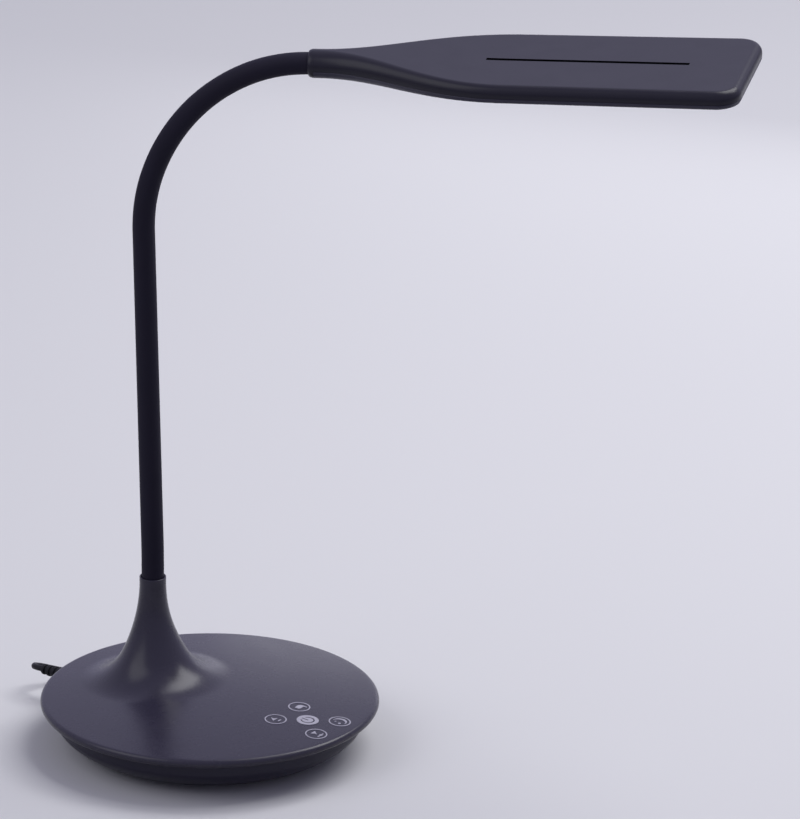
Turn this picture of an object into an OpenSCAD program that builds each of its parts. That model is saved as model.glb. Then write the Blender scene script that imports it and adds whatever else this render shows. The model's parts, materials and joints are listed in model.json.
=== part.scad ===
// Touch-control desk lamp: round weighted base, rubber-sleeved gooseneck and flat light head.
// Millimetres. Origin at the centre of the foot pad's face, Z up, X towards the touch marks.

/* [Base] */
// Diameter over the rim of the top cover
base_d = 180; // [160:1:210]
// Height of the rim's middle above the table
rim_z = 24; // [22:0.5:30]
// Radius of the rounded rim edge
rim_round = 2.4; // [1.5:0.1:3]
// Rise of the domed top from the rim to the middle
dome_rise = 4.3; // [3:0.1:7]
// Thickness of the domed top
cover_wall = 2.5; // [2:0.1:3]
// How far the lower pan's wall stands in from the rim
pan_in = 8; // [6:0.5:14]
// Radius of the pan's flat bottom
pan_foot_r = 56; // [50:1:62]
// Wall of the lower pan
pan_wall = 2.2; // [1.6:0.1:3]
// Height at which the pan starts to curve in
pan_bend_z = 14.6; // [10:0.1:18]
// How far the foot pad stands out below the pan
foot_proud = 0.5; // [0.3:0.1:1]

/* [Riser] */
// Distance from the base's middle to the riser
riser_offset = 37.4; // [30:0.1:45]
// Height of the riser's mouth above the table
riser_top_z = 86.5; // [75:0.1:100]
// Outer radius of the riser at its mouth
riser_r = 7.1; // [6.9:0.05:9]
// Length of the straight stretch below the mouth
riser_straight = 3.4; // [2:0.1:8]
// Radius of the long hollow curve
flare_r = 80; // [70:1:95]
// Lean of the wall where the foot curve takes over
flare_turn = 30; // [26:1:34]

/* [Touch marks] */
// How far the power mark's middle stands in from the rim
mark_in = 25.6; // [25:0.1:32]
// Half spacing of the outer marks along X
mark_dx = 13.3; // [12:0.1:15]
// Half spacing of the outer marks along Y
mark_dy = 10.6; // [9:0.1:14]
// Outer diameter of one mark
mark_d = 11.8; // [10:0.1:13]
// Width of the printed lines
mark_line = 0.65; // [0.4:0.05:0.8]
// Thickness of the print
mark_t = 0.15; // [0.1:0.05:0.3]

/* [Gooseneck] */
// Direction of the arm, turned from X towards Y
arm_turn = 25; // [0:1:90]
// Outer diameter of the rubber sleeve
sleeve_d = 12; // [11.6:0.1:12.2]
// Wall of the rubber sleeve
sleeve_wall = 1.3; // [1:0.1:1.4]
// Diameter of the wound core
core_d = 9; // [8.4:0.1:9.1]
// Length of the upright stretch above the riser
upright_len = 197; // [150:1:240]
// Length of the curved stretch
curve_len = 149.6; // [120:0.1:180]
// Lean of the upright stretch away from the head
lean = 1.36; // [0:0.01:3]
// Rise of the head above level
head_tilt = 2.8; // [0:0.1:8]

/* [Head] */
// Length of the head from its collar to its tip
head_len = 237.5; // [220:0.5:260]
// Width of the head where the flat panel starts
panel_w = 81; // [70:0.1:86]
// Width of the head near its tip
tip_w = 84.6; // [74:0.1:90]
// Thickness of the flat panel
head_t = 9.7; // [9.6:0.1:11]
// Diameter of the round neck
neck_d = 15.5; // [15:0.1:17]
// Length from the collar to the flat panel
taper_len = 107.5; // [95:0.5:120]
// Radius of the head's outer corners
head_corner = 13; // [9:0.5:16]
// Distance from the collar to the slot in the head's top
slot_x = 95.3; // [85:0.1:105]
// Length of that slot
slot_len = 109; // [80:1:115]
// Width of that slot
slot_w = 3; // [1:0.1:4]
// Wall of the head's shells
head_wall = 1.5; // [1.3:0.1:1.6]

/* [Lead] */
// Diameter of the lead
cord_d = 3.2; // [3:0.1:3.4]
// Turns in the stored coil
coil_turns = 11.25; // [7.25:1:11.25]
// Spacing of the coil's turns
coil_pitch = 3.66; // [3.66:0.01:3.9]

/* [Hidden] */
$fn = 96;
fit = 0.2;
// Clearance between two parts that only just pass each other
near = 0.1;
// How far a cut runs past the face it opens
overrun = 1;
shell_colour = [0.30, 0.29, 0.36];
pan_colour = [0.16, 0.155, 0.20];
rubber_colour = [0.12, 0.115, 0.15];
steel_colour = [0.62, 0.63, 0.65];
brass_colour = [0.80, 0.66, 0.35];
board_colour = [0.12, 0.36, 0.22];
print_colour = [0.66, 0.65, 0.74];
white_colour = [0.93, 0.93, 0.90];
rim_r = base_d / 2;
pan_r = rim_r - pan_in;
power_x = rim_r - mark_in;

// Dome and rim
dome_x = rim_r - rim_round;
dome_r = (dome_x * dome_x + dome_rise * dome_rise) / (2 * dome_rise);
apex_z = rim_z + rim_round + dome_rise;
dome_mid_z = apex_z - dome_r;
edge_x = dome_x / (1 - rim_round / dome_r);
edge_a = asin(edge_x / dome_r);
cavity_r = pan_r + 2 * fit;
rim_low_z = rim_z - rim_round;
function dome_z(d) = dome_mid_z + sqrt(dome_r * dome_r - d * d);
function arc(c, r, a0, a1, n) =
    [for (i = [0:n]) let (a = a0 + (a1 - a0) * i / n) [c.x + r * cos(a), c.y + r * sin(a)]];

// Riser: an upright stem on a foot that leans with the dome
stem_share = 0.42;
flare_z = riser_top_z - riser_straight;
flare_x = riser_r + flare_r;
join_lean = stem_share * flare_turn;
join_z = flare_z - flare_r * sin(join_lean);
join_r = flare_x - flare_r * cos(join_lean);
join_ridge = 0.03;
join_lap = 0.6;
foot_lean = atan(riser_offset / (join_z - dome_mid_z));
foot_drop = norm([riser_offset, join_z - dome_mid_z]);
turn_x = flare_x - flare_r * cos(flare_turn);
turn_z = flare_z - join_z - flare_r * sin(flare_turn) + foot_drop;
turn_dot = turn_x * cos(flare_turn) + turn_z * sin(flare_turn);
toe_r = (turn_x * turn_x + turn_z * turn_z - dome_r * dome_r) / (2 * (dome_r - turn_dot));
toe_mid = [turn_x + toe_r * cos(flare_turn), turn_z - foot_drop + toe_r * sin(flare_turn)];
toe_short = 1.5;
toe_end = 90 - atan(toe_mid.x / (toe_mid.y + foot_drop)) - toe_short;

// Riser bore, from the mouth down
mouth_r = sleeve_d / 2 + 1.5 * fit;
mouth_depth = 4;
bush_r = 5.3;
bush_flange_r = 6;
bush_flange_t = 1;
bore_r = bush_r + near;
seat_z = 54;
nut_room_r = 8.9;
nut_room_h = 8;
skirt_r = 15.5;
skirt_z = 33;
washer_t = 1.2;
washer_r = 8;
nut_t = 4;
nut_af = 14;
nut_z = seat_z - washer_t - near - nut_t;
bush_low_z = nut_z - 2 * overrun;

// Fixings in the base
pad_in = 3;
pad_r = pan_foot_r - pad_in;
pad_t = 1.5;
ballast_r = pan_foot_r - 2 * pad_in;
ballast_t = 9;
floor_z = foot_proud + pan_wall;
ballast_z = floor_z + near;
post_at = 0.88 * ballast_r;
post_turns = [45, 135, 225, 315];
post_r = 3.6;
post_z = ballast_z + ballast_t + 3 * fit;
pilot_r = 1.25;
screw_r = 1.5;
head_r = 2.8;
head_h = 1.8;
anchor_at = 0.8 * ballast_r;
anchor_turns = [0, 120, 240];
pan_power = 1.3;

// Touch board: it reaches past the marks by these amounts, towards the riser and to the sides
board_past = 6.8;
board_side = 8.3;
board_x = power_x - mark_dx - board_past;
board_half = mark_dy + board_side;
board_t = 1.6;
board_z = 18;
board_rim = pan_r - pan_wall - overrun;
board_post_r = 2.5;
board_post_in = 4;
board_posts = [for (s = [-1, 1]) [board_x + board_post_in, s * (board_half - board_post_in)]];
board_grip = 4;
spring_r = 1.6;
spring_wire = 0.4;
spring_share = 0.86;
// Place and size of each part along and across the board, and its height in board thicknesses
part_shares = [
    [0.23, 0, 0.37, 0.37, 1], [0.52, 0.47, 0.26, 0.21, 0.88], [0.52, -0.47, 0.32, 0.32, 1.88],
    [0.75, 0, 0.21, 0.26, 0.75], [0.17, 0.47, 0.16, 0.32, 1.25], [0.35, -0.53, 0.16, 0.16, 0.62]
];

// Gooseneck links: link 0 stands in the bush, 1 to 4 are the upright, 5 to 8 the curve
lower_links = 4;
upper_links = 4;
last_link = lower_links + upper_links;
entry_len = 14;
arch = 90 - head_tilt + lean;
arch_shares = [0.2435, 0.226, 0.248, 0.2825];
function link_len(i) = i == 0 ? entry_len
    : i <= lower_links ? (upright_len - entry_len) / lower_links
    : curve_len / upper_links;
function link_bend(i) = i > lower_links ? arch * arch_shares[i - lower_links - 1] : 0;
function step(len, bend, h) = abs(bend) < 0.001
    ? len * [sin(h), 0, cos(h)]
    : let (r = len * 180 / PI / bend) r * [cos(h) - cos(h + bend), 0, sin(h + bend) - sin(h)];
function heading(i) = i == 0 ? 0 : heading(i - 1) + link_bend(i - 1) - (i == 1 ? lean : 0);
function start(i) = i == 0 ? [0, 0, riser_top_z]
    : start(i - 1) + step(link_len(i - 1), link_bend(i - 1), heading(i - 1));
function spin(v, a) = [v.x * cos(a) - v.y * sin(a), v.x * sin(a) + v.y * cos(a), v.z];
function in_row(v) = spin(v, arm_turn) - [riser_offset, 0, 0];

// Wound core: each link ends in a round seat for the next link's knuckle
core_r = core_d / 2;
knuckle_r = core_r * 2 / 3;
knuckle_half = core_r * 0.55;
seat_gap = 0.3;
shoulder = core_r * 0.6;
core_bore = 1.2;
core_tail = 20;

// Head outline
panel_half = panel_w / 2;
tip_half = tip_w / 2;
neck_r = neck_d / 2;
head_half_t = head_t / 2;
lip_x = 3.2;
neck_len = 3.5;
taper_span = taper_len - neck_len;
taper_hull = [[neck_len, neck_r], [neck_len + 0.438 * taper_span, 0.93 * neck_r],
    [taper_len - 0.513 * taper_span, 0.957 * panel_half], [taper_len, panel_half]];
roll_w = 4;
low_roll = 1.8;
least_y = 0.05;
seam_z = -2.2;
seam_gap = 0.05;
recess_r = sleeve_d / 2 + 2 * fit;
mouth_tuck = 2.7;

// Head inside
panel_x = taper_len;
tip_bezel = 11;
side_bezel = 6.5;
panel_end = head_len - tip_bezel;
window_half = panel_half - side_bezel;
lens_lip = 1.5;
lens_sunk = 0.15;
lens_t = 0.9;
guide_t = 2.4;
sheet_t = 0.4;
plate_t = 1;
strip_t = 1;
strip_in = 0.9;
led_count = 18;
led_size = 1.6;
led_t = 0.8;
lens_z = head_wall + seam_gap - head_half_t;
guide_z = lens_z + lens_t + near;
sheet_z = guide_z + guide_t + near;
plate_z = sheet_z + sheet_t + near;
liner_t = 0.9;
liner_lap = 1.5;
cuff_r = 5.4;
cuff_fit = 0.05;
bush_wall = 1.3;
// The head's hollow starts at this step of the outline's first curve
hollow_step = 2;
taper_steps = 16;
hollow_x = bezier(taper_hull, hollow_step / taper_steps).x;
clip_w = 1.2;
clip_out = 0.4;
clip_mouth = 3;
clip_deep = 0.7;
cuff_len = hollow_x + clip_w + 2 * near + head_wall;
head_lead_r = 1.1;
screw_x = 60;
screw_y = 12;
screw_deep = 2.2;
boss_wall = 1.2;

// Lead: the relief points away from the touch marks
relief_z = 15.5;
relief_tip = 110;
relief_ribs = 8;
relief_tip_r = 2.8;
relief_root_r = 4.9;
relief_groove = 0.75;
relief_neck_r = 3.2;
relief_lip = 0.8;
relief_lip_t = 1.5;
wire_r = 1.1;
lead_r = cord_d / 2;
coil_mid = [-59, 82, 0];
coil_lift = 0.6;
coil_r = 28;
loop_rings = 24;
half_turns = coil_turns / 2;
coil_z = coil_lift + lead_r;
lead_points = [
    [-110, 0, 15.5], [-113, 0, 15.4], [-117, 1.5, 14.8], [-119.5, 5.5, 13.4], [-119, 11, 11.2],
    [-115.5, 17, 8.6], [-110, 24, 5.8], [-104, 33, 3.4], [-98, 43, 2], [-92.5, 54, 1.65],
    [-89, 64, 1.65], [-87.2, 73, 2]
];
tail_step = 4;
tie_w = 6;
tie_t = 0.4;
tie_slack = 1.6;
plug_z = 4.4;
plug_x = -40;
plug_len = 21;
plug_w = 15.5;
plug_h = 8.4;
plug_round = 2.4;
plug_boot = 5.9;
shell_w = 12;
shell_h = 4.5;
shell_len = 15;
shell_in = 4;
shell_wall = 0.35;
window_w = 2.2;
window_x = 8;
tongue_t = 1.7;

// Figures for the record
for (i = [0:last_link])
    echo(link = i, at = in_row(start(i)), heading = heading(i));
echo(head = in_row(start(last_link + 1)), head_heading = heading(last_link + 1));
echo(coil_gap = least_gap(coil_route) - cord_d, coil_length = path_len(coil_route));
echo(lead_length = path_len(lead_route));
echo(whole_lead = path_len(lead_route) + path_len(coil_route));

// Shared helpers
module ring(r_out, r_in) {
    difference() {
        circle(r_out);
        if (r_in > 0)
            circle(r_in);
    }
}

module tube(r_out, r_in, h) {
    linear_extrude(h) ring(r_out, r_in);
}

module screw(len, thread_r = screw_r) {
    difference() {
        cylinder(r = head_r, h = head_h);
        translate([0, 0, -fit]) linear_extrude(head_h / 2 + fit) cross_2d();
    }
    translate([0, 0, head_h]) cylinder(r = thread_r, h = len);
}

module cross_2d() {
    square([head_r, head_h / 3], center = true);
    square([head_h / 3, head_r], center = true);
}

module at_riser() {
    translate([-riser_offset, 0, 0]) children();
}

module at_posts() {
    for (a = post_turns)
        translate([post_at * cos(a), post_at * sin(a), 0]) children();
}

module at_anchors() {
    for (a = anchor_turns)
        translate([anchor_at * cos(a), anchor_at * sin(a), 0]) children();
}

// Base
module cover_disc() {
    rotate_extrude() polygon(concat(
        [[0, rim_low_z]],
        arc([edge_x - rim_round * sin(edge_a), rim_z], rim_round, -90, 90 - edge_a, 12),
        [for (i = [23:-1:0]) [edge_x * i / 24, dome_z(edge_x * i / 24)]]
    ));
}

module riser_stem() {
    plug_in = 1.2;
    plug_deep = 8;
    at_riser() rotate_extrude() polygon(concat(
        [[0, join_z - plug_deep], [join_r - plug_in, join_z - plug_deep],
            [join_r - plug_in, join_z]],
        [for (i = [8:-1:0]) let (a = join_lean * i / 8)
            [flare_x - flare_r * cos(a), flare_z - flare_r * sin(a)]],
        [[riser_r, riser_top_z], [0, riser_top_z]]
    ));
}

module riser_foot() {
    at_riser() translate([0, 0, join_z]) rotate([0, -foot_lean, 0]) rotate_extrude() polygon(concat(
        [[0, join_lap], [join_r + join_ridge, join_lap], [join_r + join_ridge, 0]],
        [for (i = [1:8]) let (a = join_lean + (flare_turn - join_lean) * i / 8)
            [flare_x - flare_r * cos(a), flare_z - join_z - flare_r * sin(a)]],
        [for (i = [1:10]) let (a = flare_turn + (toe_end - flare_turn) * i / 10)
            toe_mid - toe_r * [cos(a), sin(a)]],
        [[toe_mid.x - toe_r * cos(toe_end), dome_r - foot_drop - cover_wall],
            [0, dome_r - foot_drop - cover_wall]]
    ));
}

module cover_hollow() {
    inner_r = dome_r - cover_wall;
    rotate_extrude() polygon(concat(
        [[0, rim_low_z - overrun], [cavity_r, rim_low_z - overrun]],
        [for (i = [12:-1:0]) let (d = cavity_r * i / 12)
            [d, dome_mid_z + sqrt(inner_r * inner_r - d * d)]]
    ));
}

module riser_hollow() {
    at_riser() rotate_extrude() polygon([
        [0, rim_low_z], [skirt_r, rim_low_z], [skirt_r, skirt_z], [nut_room_r, seat_z - nut_room_h],
        [nut_room_r, seat_z], [bore_r, seat_z], [bore_r, riser_top_z - mouth_depth],
        [mouth_r, riser_top_z - mouth_depth], [mouth_r, riser_top_z + overrun],
        [0, riser_top_z + overrun]
    ]);
}

module base_top_cover() {
    color(shell_colour) {
        difference() {
            union() {
                cover_disc();
                riser_foot();
                riser_stem();
            }
            cover_hollow();
            riser_hollow();
        }
        at_posts() post(post_r, post_z);
        for (p = board_posts)
            translate([p.x, p.y, 0]) post(board_post_r, board_z + board_t);
    }
}

module post(r, from_z) {
    top_z = apex_z - cover_wall;
    translate([0, 0, from_z]) difference() {
        cylinder(r = r, h = top_z - from_z);
        translate([0, 0, -overrun]) cylinder(r = pilot_r, h = top_z - from_z);
    }
}

function pan_point(t, in) =
    [pan_foot_r + (pan_r - in - pan_foot_r) * pow(cos(t), pan_power),
        pan_bend_z + (foot_proud + in - pan_bend_z) * pow(sin(t), pan_power)];

module base_pan() {
    top_z = rim_z;
    color(pan_colour) difference() {
        rotate_extrude() polygon(concat(
            [[0, foot_proud]],
            [for (i = [14:-1:0]) pan_point(90 * i / 14, 0)],
            [[pan_r, top_z], [pan_r - pan_wall, top_z]],
            [for (i = [0:14]) pan_point(90 * i / 14, pan_wall)],
            [[0, floor_z]]
        ));
        cylinder(r = pad_r + fit, h = pad_t);
        at_posts() cylinder(r = screw_r + near, h = floor_z * 2);
        at_anchors() cylinder(r = pilot_r, h = floor_z * 2);
        translate([-pan_r * 1.1, 0, relief_z]) rotate([0, 90, 0])
            cylinder(r = relief_neck_r + near, h = pan_r * 0.3);
    }
}

module foot_pad() {
    color(rubber_colour) difference() {
        cylinder(r = pad_r, h = pad_t);
        at_posts() translate([0, 0, -overrun]) cylinder(r = head_r + 2 * fit, h = pad_t + 2 * overrun);
    }
}

module ballast_plate() {
    cut = ballast_t + 2 * overrun;
    color(steel_colour) translate([0, 0, ballast_z]) difference() {
        cylinder(r = ballast_r, h = ballast_t);
        at_posts() translate([0, 0, -overrun]) cylinder(r = post_r + 2 * fit, h = cut);
        at_anchors() translate([0, 0, -overrun]) cylinder(r = screw_r + fit, h = cut);
    }
}

module ballast_screws() {
    top_z = ballast_z + ballast_t + head_h;
    color(steel_colour) at_anchors() translate([0, 0, top_z]) rotate([180, 0, 0])
        screw(ballast_t + pan_wall / 2, pilot_r);
}

module pan_screws() {
    flat_h = 0.8 * pad_t;
    grip = 6;
    color(steel_colour) at_posts() {
        translate([0, 0, pad_t - flat_h]) difference() {
            cylinder(r = head_r, h = flat_h);
            translate([0, 0, -fit]) linear_extrude(flat_h / 2 + fit) cross_2d();
        }
        translate([0, 0, pad_t]) cylinder(r = pilot_r, h = post_z + grip - pad_t);
    }
}

module board_2d() {
    intersection() {
        translate([board_x, -board_half]) square([rim_r, 2 * board_half]);
        circle(board_rim);
    }
}

module touch_board() {
    color(board_colour) translate([0, 0, board_z]) difference() {
        linear_extrude(board_t) board_2d();
        for (p = board_posts)
            translate([p.x, p.y, -overrun]) cylinder(r = screw_r + fit, h = board_t + 2 * overrun);
    }
}

module board_parts() {
    color(pan_colour) for (p = part_shares) {
        size = [p[2] * board_half, p[3] * board_half, p[4] * board_t];
        at = [board_x + p[0] * (board_rim - board_x), p[1] * board_half, board_z - size.z];
        translate(at - [size.x / 2, size.y / 2, 0]) cube(size);
    }
}

function mark_places() = [[power_x, 0], for (x = [-1, 1], y = [-1, 1])
    [power_x + x * mark_dx, y * mark_dy]];

module touch_springs() {
    low_z = board_z + board_t;
    color(brass_colour) for (m = mark_places()) {
        x = power_x + (m.x - power_x) * spring_share;
        y = m.y * spring_share;
        room = dome_z(norm([x, y]) + spring_r) - cover_wall - low_z - fit;
        translate([x, y, low_z]) tube(spring_r, spring_r - spring_wire, room);
    }
}

module board_screws() {
    color(steel_colour) for (p = board_posts)
        translate([p.x, p.y, board_z - head_h]) screw(board_t + board_grip, pilot_r);
}

// Printed marks
module on_dome(p) {
    d = norm(p);
    translate([p.x, p.y, dome_z(d)]) rotate([0, 0, atan2(p.y, p.x)]) rotate([0, asin(d / dome_r), 0])
        rotate([0, 0, -atan2(p.y, p.x)]) linear_extrude(mark_t) children();
}

// Every sign is drawn on a mark 12 units wide. It is read from the front, so up is -X
unit = mark_d / 12;

module mark_ring() {
    ring(mark_d / 2, mark_d / 2 - mark_line);
}

module mark_power() {
    color(print_colour) on_dome([power_x, 0]) difference() {
        circle(mark_d / 2);
        scale(unit) power_sign();
    }
}

module power_sign() {
    difference() {
        ring(3.85, 3.05);
        polygon([[0, 0], [-5, 3.2], [-5, -3.2]]);
    }
    translate([-3.9, -0.4]) square([4.3, 0.8]);
}

module mark_night() {
    color(print_colour) on_dome([power_x + mark_dx, mark_dy]) {
        mark_ring();
        scale(unit) {
            difference() {
                circle(3.9);
                translate([0, -1.3]) circle(3.7);
            }
            translate([1.3, -2.1]) circle(0.75);
            translate([-1.8, -1.5]) circle(0.5);
        }
    }
}

module mark_warmth() {
    color(print_colour) on_dome([power_x - mark_dx, mark_dy]) {
        mark_ring();
        scale(unit) polygon([[-1.4, -2.3], [1.4, -2.2], [1.8, -0.8], [1.5, 1.8], [3.4, 2],
            [3.4, 2.7], [1.2, 2.8], [-0.5, 2.6], [-1.7, 1.2]]);
    }
}

module arrow_sign() {
    polygon([[-1.1, 2.2], [-1.1, -1.9], [0.5, -0.2], [2.1, -0.3]]);
}

module mark_dimmer() {
    color(print_colour) on_dome([power_x - mark_dx, -mark_dy]) {
        mark_ring();
        scale(unit) {
            translate([-1, -0.2]) rotate(180) arrow_sign();
            translate([2, -1]) square([0.8, 2.4]);
        }
    }
}

module mark_brighter() {
    color(print_colour) on_dome([power_x + mark_dx, -mark_dy]) {
        mark_ring();
        scale(unit) {
            translate([-1.4, 0]) arrow_sign();
            translate([2.3, -2.2]) square([0.8, 5]);
            translate([1.8, 0.2]) square([1.8, 0.8]);
        }
    }
}

// Riser fittings
module riser_washer() {
    color(steel_colour) at_riser() translate([0, 0, seat_z - washer_t])
        tube(washer_r, bush_r + near, washer_t);
}

module lock_nut() {
    color(steel_colour) at_riser() translate([0, 0, nut_z]) difference() {
        cylinder(d = nut_af / cos(30), h = nut_t, $fn = 6);
        translate([0, 0, -overrun]) cylinder(r = bush_r, h = nut_t + 2 * overrun);
    }
}

module lower_bush() {
    flange_z = riser_top_z - mouth_depth + near;
    color(brass_colour) at_riser() {
        translate([0, 0, bush_low_z]) tube(bush_r, core_r, flange_z - bush_low_z);
        translate([0, 0, flange_z]) tube(bush_flange_r, core_r, bush_flange_t);
    }
}

// Gooseneck
module link_frame(i, share = 0) {
    h = heading(i);
    at = start(i) + step(link_len(i) * share, link_bend(i) * share, h);
    at_riser() rotate([0, 0, arm_turn]) translate(at) rotate([0, h + link_bend(i) * share, 0])
        children();
}

module bent(len, bend) {
    if (abs(bend) < 0.001)
        linear_extrude(len) children();
    else
        mirror([bend < 0 ? 1 : 0, 0, 0]) bent_right(len, abs(bend)) children();
}

module bent_right(len, bend) {
    r = len * 180 / PI / bend;
    translate([r, 0, 0]) rotate([90, 0, 0]) rotate([0, 0, 180 - bend])
        rotate_extrude(angle = bend) translate([r, 0]) children();
}

module link_piece(i, from, to) {
    link_frame(i, from) bent(link_len(i) * (to - from), link_bend(i) * (to - from)) children();
}

module knuckle(r, half) {
    rotate([90, 0, 0]) cylinder(r = r, h = 2 * half, center = true);
}

// A straight link is bored through in one go, and a bent one in its tube and in its knuckle
module core_link(i) {
    straight = link_bend(i) == 0;
    color(steel_colour) difference() {
        union() {
            link_piece(i, shoulder / link_len(i), 1) ring(core_r, straight ? 0 : core_bore);
            link_frame(i) difference() {
                knuckle(knuckle_r, knuckle_half);
                if (!straight)
                    cylinder(r = core_bore, h = core_d, center = true);
            }
        }
        if (straight)
            link_frame(i) translate([0, 0, -core_d])
                cylinder(r = core_bore, h = link_len(i) + 2 * core_d);
        if (i < last_link)
            link_frame(i + 1) knuckle(knuckle_r + seat_gap, knuckle_half + seat_gap);
    }
}

module core_0() {
    color(steel_colour) difference() {
        union() {
            link_piece(0, 0, 1) ring(core_r, core_bore);
            link_frame(0) translate([0, 0, -core_tail]) tube(core_r, core_bore, core_tail);
        }
        link_frame(1) knuckle(knuckle_r + seat_gap, knuckle_half + seat_gap);
    }
}

module core_1() core_link(1);
module core_2() core_link(2);
module core_3() core_link(3);
module core_4() core_link(4);
module core_5() core_link(5);
module core_6() core_link(6);
module core_7() core_link(7);
module core_8() core_link(8);

module sleeve_2d() {
    ring(sleeve_d / 2, sleeve_d / 2 - sleeve_wall);
}

function rate(i) = link_bend(i) / link_len(i);

// A sleeve runs from the middle of one link to the middle of the next
module sleeve_piece(i) {
    // The two halves of a sleeve that changes its curve lie this far from the middle
    kink = sleeve_d / 2 * tan(lean / 2) + fit / 10;
    slit = fit / 20;
    color(rubber_colour) {
        if (i == 1) {
            link_frame(0) translate([0, 0, -mouth_tuck])
                linear_extrude(entry_len + mouth_tuck - kink) sleeve_2d();
            link_piece(1, kink / link_len(1), 0.5) sleeve_2d();
        } else if (i < last_link && abs(rate(i - 1) - rate(i)) < 0.0001)
            link_frame(i - 1, 0.5) bent((link_len(i - 1) + link_len(i)) / 2,
                (link_bend(i - 1) + link_bend(i)) / 2) sleeve_2d();
        else {
            link_piece(i - 1, 0.5, 1 - slit / link_len(i - 1)) sleeve_2d();
            link_piece(i, slit / link_len(i), i < last_link ? 0.5 : 1) sleeve_2d();
        }
    }
}

module sleeve_1() sleeve_piece(1);
module sleeve_2() sleeve_piece(2);
module sleeve_3() sleeve_piece(3);
module sleeve_4() sleeve_piece(4);
module sleeve_5() sleeve_piece(5);
module sleeve_6() sleeve_piece(6);
module sleeve_7() sleeve_piece(7);
module sleeve_8() sleeve_piece(8);

// Head: X runs from the collar to the tip and Z is up
module head_frame() {
    link_frame(last_link, 1) rotate([0, -90, 0]) children();
}

module along() {
    rotate([0, 90, 0]) children();
}

function ease(s) = s <= 0 ? 0 : s >= 1 ? 1 : s * s * (3 - 2 * s);
function bezier(p, t) = pow(1 - t, 3) * p[0] + 3 * t * pow(1 - t, 2) * p[1]
    + 3 * t * t * (1 - t) * p[2] + t * t * t * p[3];

// Outline from the collar round to the middle of the tip, pulled in by "in"
function head_outline(in) = concat(
    in > 0 ? [] : [[lip_x, neck_r]],
    [for (i = [in > 0 ? hollow_step : 0:taper_steps]) bezier(taper_hull, i / taper_steps) - [0, in]],
    [for (i = [1:4]) let (s = i / 5) [taper_len + (head_len - head_corner - taper_len) * s,
        panel_half + (tip_half - panel_half) * s - in]],
    arc([head_len - head_corner, tip_half - head_corner], head_corner - in, 90, 0, 8),
    [[head_len - in, (tip_half - head_corner) / 2]]
);
// Points of the outline from the start of its corner on
corner_points = 10;

function head_share(x) = ease((x - neck_len) / (taper_len - neck_len));
function grade(a, b, x) = a + (b - a) * head_share(x);
function inward(p, i) = let (a = p[max(i - 1, 0)], b = p[min(i + 1, len(p) - 1)], d = b - a)
    i == len(p) - 1 ? [-1, 0] : i < 2 ? [0, -1] : [d.y, -d.x] / norm(d);

// One ring of the loft: the outline drawn in and raised by an angle on the rolled edge
function head_ring(in, a) = let (p = head_outline(in))
    [for (i = [0:len(p) - 1]) let (
        x = p[i].x,
        roll = grade(neck_r, a > 0 ? roll_w : low_roll, x) - in,
        high = grade(neck_r, head_half_t, x) - in,
        q = p[i] + inward(p, i) * roll * (1 - cos(a)))
        [q.x, q.y < least_y ? 0 : q.y, high * sin(a)]];

module head_loft(in) {
    angles = [-90, -70, -50, -25, 0, 15, 30, 45, 60, 75, 90];
    rings = [for (a = angles) head_ring(in, a)];
    n = len(rings[0]);
    m = len(rings);
    // Every ring runs along one side, and its mirror image along the other
    points = concat([for (r = rings) each r], [for (r = rings) each [for (p = r) [p.x, -p.y, p.z]]]);
    function at(s, j, i) = (rings[j][i].y > 0 ? s * n * m : 0) + j * n + i;
    side = [for (j = [0:m - 2], i = [0:n - 2])
        each [[at(0, j, i), at(0, j, i + 1), at(0, j + 1, i + 1)],
            [at(0, j, i), at(0, j + 1, i + 1), at(0, j + 1, i)]]];
    other = [for (j = [0:m - 2], i = [0:n - 2])
        each [[at(1, j, i), at(1, j + 1, i + 1), at(1, j, i + 1)],
            [at(1, j, i), at(1, j + 1, i), at(1, j + 1, i + 1)]]];
    tip = [for (j = [0:m - 2])
        each [[at(0, j, n - 1), at(1, j, n - 1), at(1, j + 1, n - 1)],
            [at(0, j, n - 1), at(1, j + 1, n - 1), at(0, j + 1, n - 1)]]];
    butt = [for (j = [0:m - 2])
        each [[at(0, j, 0), at(1, j + 1, 0), at(1, j, 0)],
            [at(0, j, 0), at(0, j + 1, 0), at(1, j + 1, 0)]]];
    k = n - corner_points;
    caps = [for (i = [0:k - 1])
        each [[at(0, m - 1, i), at(0, m - 1, i + 1), at(1, m - 1, i + 1)],
            [at(0, m - 1, i), at(1, m - 1, i + 1), at(1, m - 1, i)],
            [at(0, 0, i), at(1, 0, i + 1), at(0, 0, i + 1)],
            [at(0, 0, i), at(1, 0, i), at(1, 0, i + 1)]]];
    top_end = [for (i = [k:n - 1]) at(0, m - 1, i), for (i = [n - 1:-1:k]) at(1, m - 1, i)];
    low_end = [for (i = [k:n - 1]) at(1, 0, i), for (i = [n - 1:-1:k]) at(0, 0, i)];
    whole = [for (f = concat(side, other, tip, butt, caps))
        if (f[0] != f[1] && f[1] != f[2] && f[2] != f[0]) f];
    polyhedron(points, concat(whole, [top_end], [low_end]));
}

module head_solid() {
    difference() {
        head_loft(0);
        head_loft(head_wall);
        along() cylinder(r = cuff_r + cuff_fit, h = hollow_x + overrun);
    }
}

module half_space(up) {
    far = head_len + 2 * overrun;
    translate([-overrun, -far / 2, up ? seam_z : seam_z - far - seam_gap]) cube([far, far, far]);
}

module at_screws() {
    for (y = [-screw_y, screw_y])
        translate([screw_x, y, 0]) children();
}

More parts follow.
